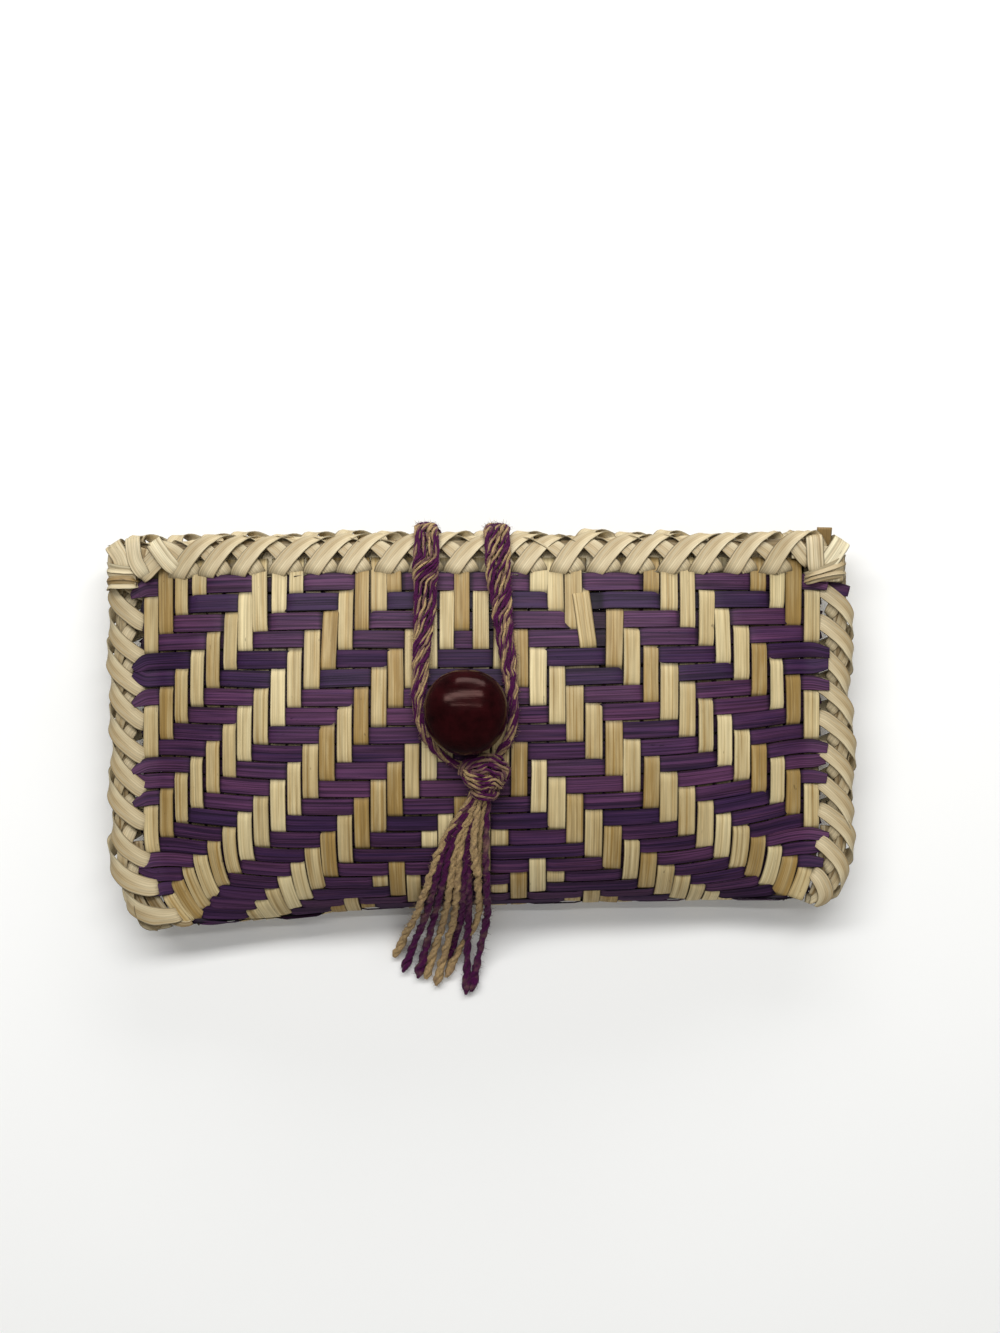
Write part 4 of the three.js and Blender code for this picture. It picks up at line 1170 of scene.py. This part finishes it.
class STRAW_OT_corners(bpy.types.Operator):
    """Folds strips over the two top corners and binds them with narrow turns."""
    bl_idname = "straw_bag.corners"
    bl_label = "Bind the corners"

    def execute(self, context):
        look = context.scene.straw_edging
        rng = np.random.default_rng(look.seed)
        pinch = 1 - CORNER_PINCH * (1 - smoothstep(np.linspace(0, 1, CORNER_STEPS) / CORNER_PINCH_SHARE))
        for name in ("left", "right"):
            node = "corner_wrap_" + name
            strips = []
            for layer, (width, *places) in enumerate(CORNER_STRIPS[name]):
                centre, up = corner_strip(places, layer)
                half, tone = width / 2 * MM * pinch, rng.uniform(0.1, 0.6)
                strips.append(make_strip(centre, up, half, look.strip_thick, tone, layer * 0.2))
            strips += corner_plugs(name, rng)
            strips += corner_turns(name, look, rng)
            if name == "right":
                strips.append(strip_end(STUB_END, 1.0, 3, look))
                tip = strips_mesh("row_end_right", [strip_end(ROW_END, 0.5, 4, look)],
                                  bpy.data.materials["dyed_palm_leaf"])
                add_piece("row_end_right", tip, "woven_straw", node)
            mesh = strips_mesh(node + "_strips", strips, bpy.data.materials["pale_palm_leaf"])
            add_piece(node + "_strips", mesh, "natural_straw", node)
        return {"FINISHED"}


# How the yarns are twisted: in the loop, the seed's stitches, the knot and the tassel's strands.
LOOP_TWIST = {
    "Yarns": 12, "Ply Lay": 9 * MM, "Ply Spread": 0.62, "Alternate": 1.0, "Banding": 0.72, "Uneven": 1.7 * MM}
STITCH_TWIST = {
    "Yarns": 2, "Lay": 4 * MM, "Ply Radius": 0.31 * MM, "Ply Lay": 3 * MM, "Ply Spread": 0.7, "Hairs": 0.0}
KNOT_TWIST = {
    "Yarns": 6, "Lay": 34 * MM, "Ply Lay": 9 * MM, "Ply Spread": 0.66, "Alternate": 1.0, "Banding": 0.3,
    "Uneven": 1.2 * MM}
STRAND_TWIST = {"Yarns": 2, "Lay": 13 * MM, "Ply Lay": 9 * MM, "Ply Spread": 0.4, "Uneven": 1.0 * MM}
# Radius of a ply as a share of its yarn's radius.
LOOP_PLY, KNOT_PLY, STRAND_PLY = 0.62, 0.7, 0.78


def twist_piece(name, node, lines, look, sizes):
    """Yarns twisted along lines, as one piece; a line carries their reach, dye, phase and plumpness."""
    mesh = grow(path_mesh(name + "_path", lines), bpy.data.node_groups["twisted_cord"], {
        "Hairs": look.hairs, "Hair Length": look.hair_length, "Seed": look.seed,
        "Material": bpy.data.materials["spun_cotton_yarn"], **sizes})
    return add_piece(name, mesh, "yarn", node)


def cord_section(share):
    """Half width and half thickness of the loop at a share of a leg's length."""
    gathered, thinned = (
        smoothstep((share - start) / (end - start))[:, None] for start, end in (CORD_GATHERS, CORD_THINS))
    crest = np.exp(-((share - CORD_CREST[0]) / CORD_CREST[1]) ** 2)[:, None]
    drawn_in = 1 - crest * (CREST_NARROWER, 0.0)
    return (CORD_FLAT + (CORD_ROUND - CORD_FLAT) * gathered + (CORD_END - CORD_ROUND) * thinned) * drawn_in


def leg_path(route):
    """Centre line of one leg of the loop, with the places on the wall lifted by the cord's thickness."""
    points = []
    for place, (_, half_thick) in zip(route, cord_section(np.linspace(0, 1, len(route)))):
        x, y = place[0] * MM, place[1] * MM
        z = place[2] * MM if len(place) == 3 else front_height(x, y) + half_thick + CORD_CLEAR
        points.append((x, y, z))
    return smooth_path(points, CORD_POINTS)


class STRAW_OT_loop(bpy.types.Operator):
    """Twists the two legs of the loop that goes over the mouth and round the seed."""
    bl_idname = "straw_bag.loop"
    bl_label = "Twist the loop"

    def execute(self, context):
        look = context.scene.straw_cord
        twisted_yarn("spun_cotton_yarn", look.purple, look.tan)
        twist_tree()
        rng = np.random.default_rng(look.seed)
        reach = np.maximum(cord_section(np.linspace(0, 1, CORD_POINTS)) - look.yarn, LEAST_REACH)
        for name, route in LOOP_ROUTES.items():
            path = leg_path(route)
            along = unit(np.gradient(path, axis=0))
            wide = unit(np.array([1.0, 0, 0]) - along * along[:, :1])
            line = {
                "points": path, "wide": wide * reach[:, :1], "thick": np.cross(along, wide) * reach[:, 1:],
                "dye": CORD_DYE + wander(rng, CORD_POINTS, 0.2, 30),
                "phase": wander(rng, CORD_POINTS, 0.06, 16), "plump": 1 + wander(rng, CORD_POINTS, 0.07, 24)}
            cord = twist_piece("loop_" + name, "loop_cord_" + name, [line], look, {
                **LOOP_TWIST, "Lay": look.lay, "Ply Radius": look.yarn * LOOP_PLY})
            float(travelled(path)[-1])
        return {"FINISHED"}


def seed_mesh(base):
    """Seed shell over the front wall: a slightly squared and uneven ball that falls away from a low ridge."""
    tilt = np.linspace(0, math.pi, SEED_RINGS + 1)[1:-1, None]
    turn = np.linspace(0, WHOLE_TURN, SEED_AROUND, endpoint=False)
    sides = (np.sin(tilt) * np.cos(turn), np.sin(tilt) * np.sin(turn), np.cos(tilt))
    ball = np.stack(np.broadcast_arrays(*sides), axis=-1).reshape(-1, 3)
    ball = np.vstack([ball, UP, -UP])
    ball /= (np.abs(ball) ** SEED_SQUARE).sum(axis=1, keepdims=True) ** (1 / SEED_SQUARE)
    x, y, z = ball.T
    ridge = np.sqrt((y - RIDGE_PLACE + RIDGE_SLANT * x) ** 2 + RIDGE_ROUND ** 2)
    dent = 1 - RIDGE_FALL * ridge + SEED_UNEVEN * np.sin(3.1 * x + 1.3) * np.cos(2.3 * y)
    shape = np.stack([x * (1 + SEED_FULLER * y / 2), y, z * np.where(z > 0, dent, 1)], axis=-1)
    place = shape * SEED_SIZE / 2 + (SEED_X, SEED_Y, base + SEED_LIFT + SEED_SIZE[2] / 2)
    ring, k = np.meshgrid(np.arange(SEED_RINGS - 2), np.arange(SEED_AROUND), indexing="ij")
    a, b = ring * SEED_AROUND + k, ring * SEED_AROUND + (k + 1) % SEED_AROUND
    faces = np.stack([a, a + SEED_AROUND, b + SEED_AROUND, b], axis=-1).reshape(-1, 4).tolist()
    top, bottom, last = len(ball) - 2, len(ball) - 1, (SEED_RINGS - 2) * SEED_AROUND
    for k in range(SEED_AROUND):
        after = (k + 1) % SEED_AROUND
        faces += [(top, k, after), (bottom, last + after, last + k)]
    mesh = bpy.data.meshes.new("seed_shell")
    mesh.from_pydata(place.tolist(), [], faces)
    mesh.polygons.foreach_set("use_smooth", np.ones(len(mesh.polygons), bool))
    return mesh


class STRAW_OT_seed(bpy.types.Operator):
    """Shapes the seed button and the stitches that hold it."""
    bl_idname = "straw_bag.seed"
    bl_label = "Shape the seed"

    def execute(self, context):
        look = context.scene.straw_seed
        base = front_height(SEED_X, SEED_Y)
        mesh = seed_mesh(base)
        mesh.materials.append(polished_seed("polished_seed_shell", look.shell, look.shadow))
        add_piece("seed_shell", mesh, "dark_seed", "seed_button")
        even = {"wide": STITCH_REACH * np.eye(3)[0], "thick": STITCH_REACH * np.eye(3)[1], "dye": 0, "phase": 0,
                "plump": 1}
        lines = []
        for number in range(STITCHES):
            angle = WHOLE_TURN * (0.125 + number / STITCHES)
            foot, head = ((SEED_X + out * math.cos(angle), SEED_Y + out * math.sin(angle), base + tall)
                          for out, tall in STITCH_ENDS)
            lines.append({"points": np.linspace(foot, head, END_STEPS), **{
                key: np.array([value] * END_STEPS) for key, value in even.items()}})
        twist_piece("seed_stitches", "seed_shank", lines, context.scene.straw_cord, STITCH_TWIST)
        return {"FINISHED"}


# Bands of yarn in the knot, from the knot's place: dye, half width, half thickness, then places, in mm.
KNOT_BANDS = [
    (0.05, 1.3, 1.2, (-3.4, -2.6, 4.2), (-1.6, -5.6, 5), (0, -8.6, 4.4), (0.4, -11, 3.6)),
    (-0.1, 1.3, 1.2, (3.6, -2.4, 4.6), (3, -5.6, 5), (1.8, -8.6, 4.4), (1.2, -11, 3.6)),
    (0.0, 1.5, 1.2, (-6.8, -0.8, 3.4), (-5.4, -3.4, 5.2), (-2.2, -5.2, 6.2), (1.6, -6, 5.4), (4, -6, 3)),
    (-0.3, 1.9, 1.4, (-5.8, 0.6, 4.6), (-2.2, 2, 7), (2.4, 1.5, 7.4), (5.8, -0.8, 5.6), (6.8, -3.2, 2.6)),
    (0.3, 1.4, 1.2, (-7.4, 2.4, 2.4), (-6.6, 0.2, 5), (-3.2, -1.9, 7.2), (1.4, -3.2, 7.4), (5.2, -4.4, 5.2),
     (6, -5.6, 2.4)),
    (-0.15, 2.0, 1.5, (-7.2, -0.6, 2.6), (-6.6, 2.4, 4.8), (-2.8, 4.8, 6.6), (1.6, 5.2, 7), (5.6, 3.8, 5.8),
     (7.5, 0.8, 3.6), (7.2, -2, 2)),
    (-0.1, 1.5, 1.2, (-3.4, -8, 2.4), (-2.4, -9, 4.4), (0.8, -9.8, 5.2), (3.4, -9.4, 4), (4, -8.6, 2.2)),
]
KNOT_SCALE = (0.9, 0.84, 1)
KNOT_RISE, KNOT_LIFT, KNOT_HEART = 1.2 * MM, 0.3 * MM, 4.5 * MM
KNOT_POINTS, STRAND_POINTS = 50, 90
# A short end of yarn that lies among the strands: places on the front wall, and its height over it, in mm.
SHORT_END = [(1.5, -25), (0.2, -33), (-1, -41), (-0.6, -47), (0.2, -53)]
SHORT_END_LIFT = 4.4


def on_wall(x, y, lift):
    """Place over the front wall, from mm."""
    return x * MM, y * MM, front_height(x * MM, y * MM) + lift * MM


# How the strands gather from their middle to the neck and the knot, and how far out they are low on the wall.
STRANDS_MIDDLE, NECK_X, NECK_SHARE, KNOT_SHARE, LOW_SHARE = -4, 1.2, 0.42, 0.2, 0.55
NECK_Y, MID_Y, LOW_Y, EDGE_Y = -25.5, -41, -57, -70
# From the bottom edge to the tip: share of the way and height in mm.
STRAND_FALL = ((0, 17.5), (0.45, 6.5), (0.75, 2.8), (1, 2.3))
# A strand is thin at the knot, swells below it, is frayed wide near its tip and closes there: how much,
# from where and over which share of its length.
STRAND_THIN = 0.72
STRAND_SWELLS = ((0.3, 0.0, 0.45), (0.26, 0.86, 0.1))
STRAND_CLOSES = (0.7, 0.975, 0.025)


def strand_route(knot, mid, edge, tip_x, tip_y):
    """Places of one strand: out of the knot, down the wall, over the bottom edge and on to the floor."""
    aside = mid - STRANDS_MIDDLE
    points = [knot + np.array((aside * KNOT_SHARE, 0, 5)) * MM]
    neck, low = NECK_X + aside * NECK_SHARE, mid + (edge - mid) * LOW_SHARE
    for x, y, layers in ((neck, NECK_Y, 2), (mid, MID_Y, 1), (low, LOW_Y, 2)):
        points.append(on_wall(x, y, layers * STRAND_LIFT))
    for share, z in STRAND_FALL:
        x, y = edge + (tip_x - edge) * share, EDGE_Y + (tip_y - EDGE_Y) * share
        points.append((x * MM, y * MM, z * MM))
    return points


class STRAW_OT_tassel(bpy.types.Operator):
    """Ties the knot of the loop and hangs the tassel strands from it."""
    bl_idname = "straw_bag.tassel"
    bl_label = "Tie the tassel"

    def execute(self, context):
        look = context.scene.straw_cord
        rng = np.random.default_rng(look.seed)
        knot = np.array(on_wall(KNOT_X, KNOT_Y, 0)) + KNOT_LIFT * UP
        bands = []
        for dye, half_wide, half_thick, *places in KNOT_BANDS:
            line = smooth_path(np.array(places) * KNOT_SCALE * MM + knot + (0, KNOT_RISE, 0), KNOT_POINTS)
            along = unit(np.gradient(line, axis=0))
            side = unit(np.cross(along, unit(line - knot - KNOT_HEART * UP)))
            bands.append({
                "points": line, "wide": side * half_wide * MM, "thick": np.cross(side, along) * half_thick * MM,
                "dye": dye + KNOT_DYE + wander(rng, KNOT_POINTS, 0.15, 12),
                "phase": rng.random() + wander(rng, KNOT_POINTS, 0.05, 8),
                "plump": 1 + wander(rng, KNOT_POINTS, 0.08, 10)})
        twist_piece("tassel_knot", "tassel", bands, look, {**KNOT_TWIST, "Ply Radius": look.yarn * KNOT_PLY})
        routes = [(strand_route(knot, *places), dye) for *places, dye in STRANDS]
        routes.append(([on_wall(x, y, SHORT_END_LIFT) for x, y in SHORT_END], 1))
        share = np.linspace(0, 1, STRAND_POINTS)
        fuller = STRAND_THIN
        for much, start, over in STRAND_SWELLS:
            fuller = fuller + much * smoothstep((share - start) / over)
        much, start, over = STRAND_CLOSES
        closed = 1 - much * smoothstep((share - start) / over)
        strands = []
        for points, dye in routes:
            line = smooth_path(points, STRAND_POINTS)
            along = unit(np.gradient(line, axis=0))
            side = unit(np.cross(along, UP))
            plump = (fuller + wander(rng, STRAND_POINTS, 0.06, 20)) * closed
            reach = (look.strand * STRAND_REACH * plump)[:, None]
            strands.append({
                "points": line, "wide": side * reach, "thick": np.cross(along, side) * reach, "plump": plump,
                "dye": dye + wander(rng, STRAND_POINTS, 0.08, 16),
                "phase": rng.random() + wander(rng, STRAND_POINTS, 0.1, 10)})
        twist_piece("tassel_strands", "tassel", strands, look, {
            **STRAND_TWIST, "Ply Radius": look.strand * STRAND_PLY})
        return {"FINISHED"}


# Lights round the bag: place and size in metres, share of the key light's power, and if reflections show it.
LIGHTS = {
    "window_light": ((-0.1, 0.62, 0.92), (1.5, 0.22), 1.0, True),
    "edge_light": ((0.15, 1.0, 0.36), (0.9, 0.3), 0.5, True),
    "strip_light": ((0.0, 0.22, 0.95), (1.0, 0.025), 0.13, True),
    "bounce_light": ((0.1, -0.9, 0.6), (1.4, 0.7), 0.3, False),
}
LIGHT_AIM = Vector((0, 0, 30 * MM))
FLOOR_REACH = 2.5


class STRAW_OT_stage(bpy.types.Operator):
    """Makes the camera, the pale floor and the soft window light."""
    bl_idname = "straw_bag.stage"
    bl_label = "Set the stage"

    def execute(self, context):
        look = context.scene.straw_stage
        scene = context.scene
        lens = bpy.data.cameras.new("photo_camera")
        lens.lens = FOCAL_PIXELS * lens.sensor_width / FRAME_LONG
        scene.camera = bpy.data.objects.new("photo_camera", lens)
        scene.camera.location = CAMERA_PLACE
        scene.collection.objects.link(scene.camera)
        scene.view_settings.view_transform = "Standard"
        sheet = bpy.data.meshes.new("paper_floor")
        corners = ((-1, -1), (1, -1), (1, 1), (-1, 1))
        sheet.from_pydata([(x * FLOOR_REACH, y * FLOOR_REACH, 0) for x, y in corners], [], [(0, 1, 2, 3)])
        sheet.materials.append(matt_paper("matt_studio_paper", look.paper))
        floor = bpy.data.objects.new("paper_floor", sheet)
        scene.collection.objects.link(floor)
        # The paper's white would ring the dark seed's edge, so it doesn't show in reflections
        floor.visible_glossy = False
        for name, (place, size, share, reflected) in LIGHTS.items():
            lamp = bpy.data.lights.new(name, "AREA")
            lamp.shape = "RECTANGLE"
            lamp.size, lamp.size_y = size
            lamp.energy = look.key * share
            light = bpy.data.objects.new(name, lamp)
            light.visible_glossy = reflected
            light.location = place
            light.rotation_euler = (LIGHT_AIM - Vector(place)).to_track_quat("-Z", "Y").to_euler()
            scene.collection.objects.link(light)
        scene.world = bpy.data.worlds.new("soft_daylight")
        scene.world.use_nodes = True
        background = scene.world.node_tree.nodes["Background"].inputs
        background["Color"].default_value = (1, 1, 1, 1)
        background["Strength"].default_value = look.fill
        return {"FINISHED"}


OPERATORS = (
    STRAW_OT_stage, STRAW_OT_loop, STRAW_OT_weave, STRAW_OT_edge, STRAW_OT_corners, STRAW_OT_seed,
    STRAW_OT_tassel)
GROUPS = {
    "straw_weave": STRAW_PG_weave, "straw_edging": STRAW_PG_edging, "straw_cord": STRAW_PG_cord,
    "straw_seed": STRAW_PG_seed, "straw_stage": STRAW_PG_stage}


class STRAW_PT_panel(bpy.types.Panel):
    """Lists the steps that make the bag."""
    bl_idname = "STRAW_PT_panel"
    bl_label = "Straw clutch bag"
    bl_space_type = "VIEW_3D"
    bl_region_type = "UI"
    bl_category = "Straw bag"

    def draw(self, context):
        for step in OPERATORS:
            self.layout.operator(step.bl_idname)
        for key in GROUPS:
            box = self.layout.box()
            group = getattr(context.scene, key)
            for field in group.bl_rna.properties.keys():
                if field not in ("rna_type", "name"):
                    box.prop(group, field)


def register():
    for group in GROUPS.values():
        bpy.utils.register_class(group)
    for key, group in GROUPS.items():
        setattr(bpy.types.Scene, key, PointerProperty(type=group))
    for step in OPERATORS:
        bpy.utils.register_class(step)
    bpy.utils.register_class(STRAW_PT_panel)


def unregister():
    bpy.utils.unregister_class(STRAW_PT_panel)
    for step in reversed(OPERATORS):
        bpy.utils.unregister_class(step)
    for key, group in GROUPS.items():
        delattr(bpy.types.Scene, key)
        bpy.utils.unregister_class(group)


def main():
    register()
    bpy.ops.straw_bag.stage()
    bpy.ops.straw_bag.loop()
    bpy.ops.straw_bag.weave()
    bpy.ops.straw_bag.edge()
    bpy.ops.straw_bag.corners()
    bpy.ops.straw_bag.seed()
    bpy.ops.straw_bag.tassel()


if __name__ == "__main__":
    main()
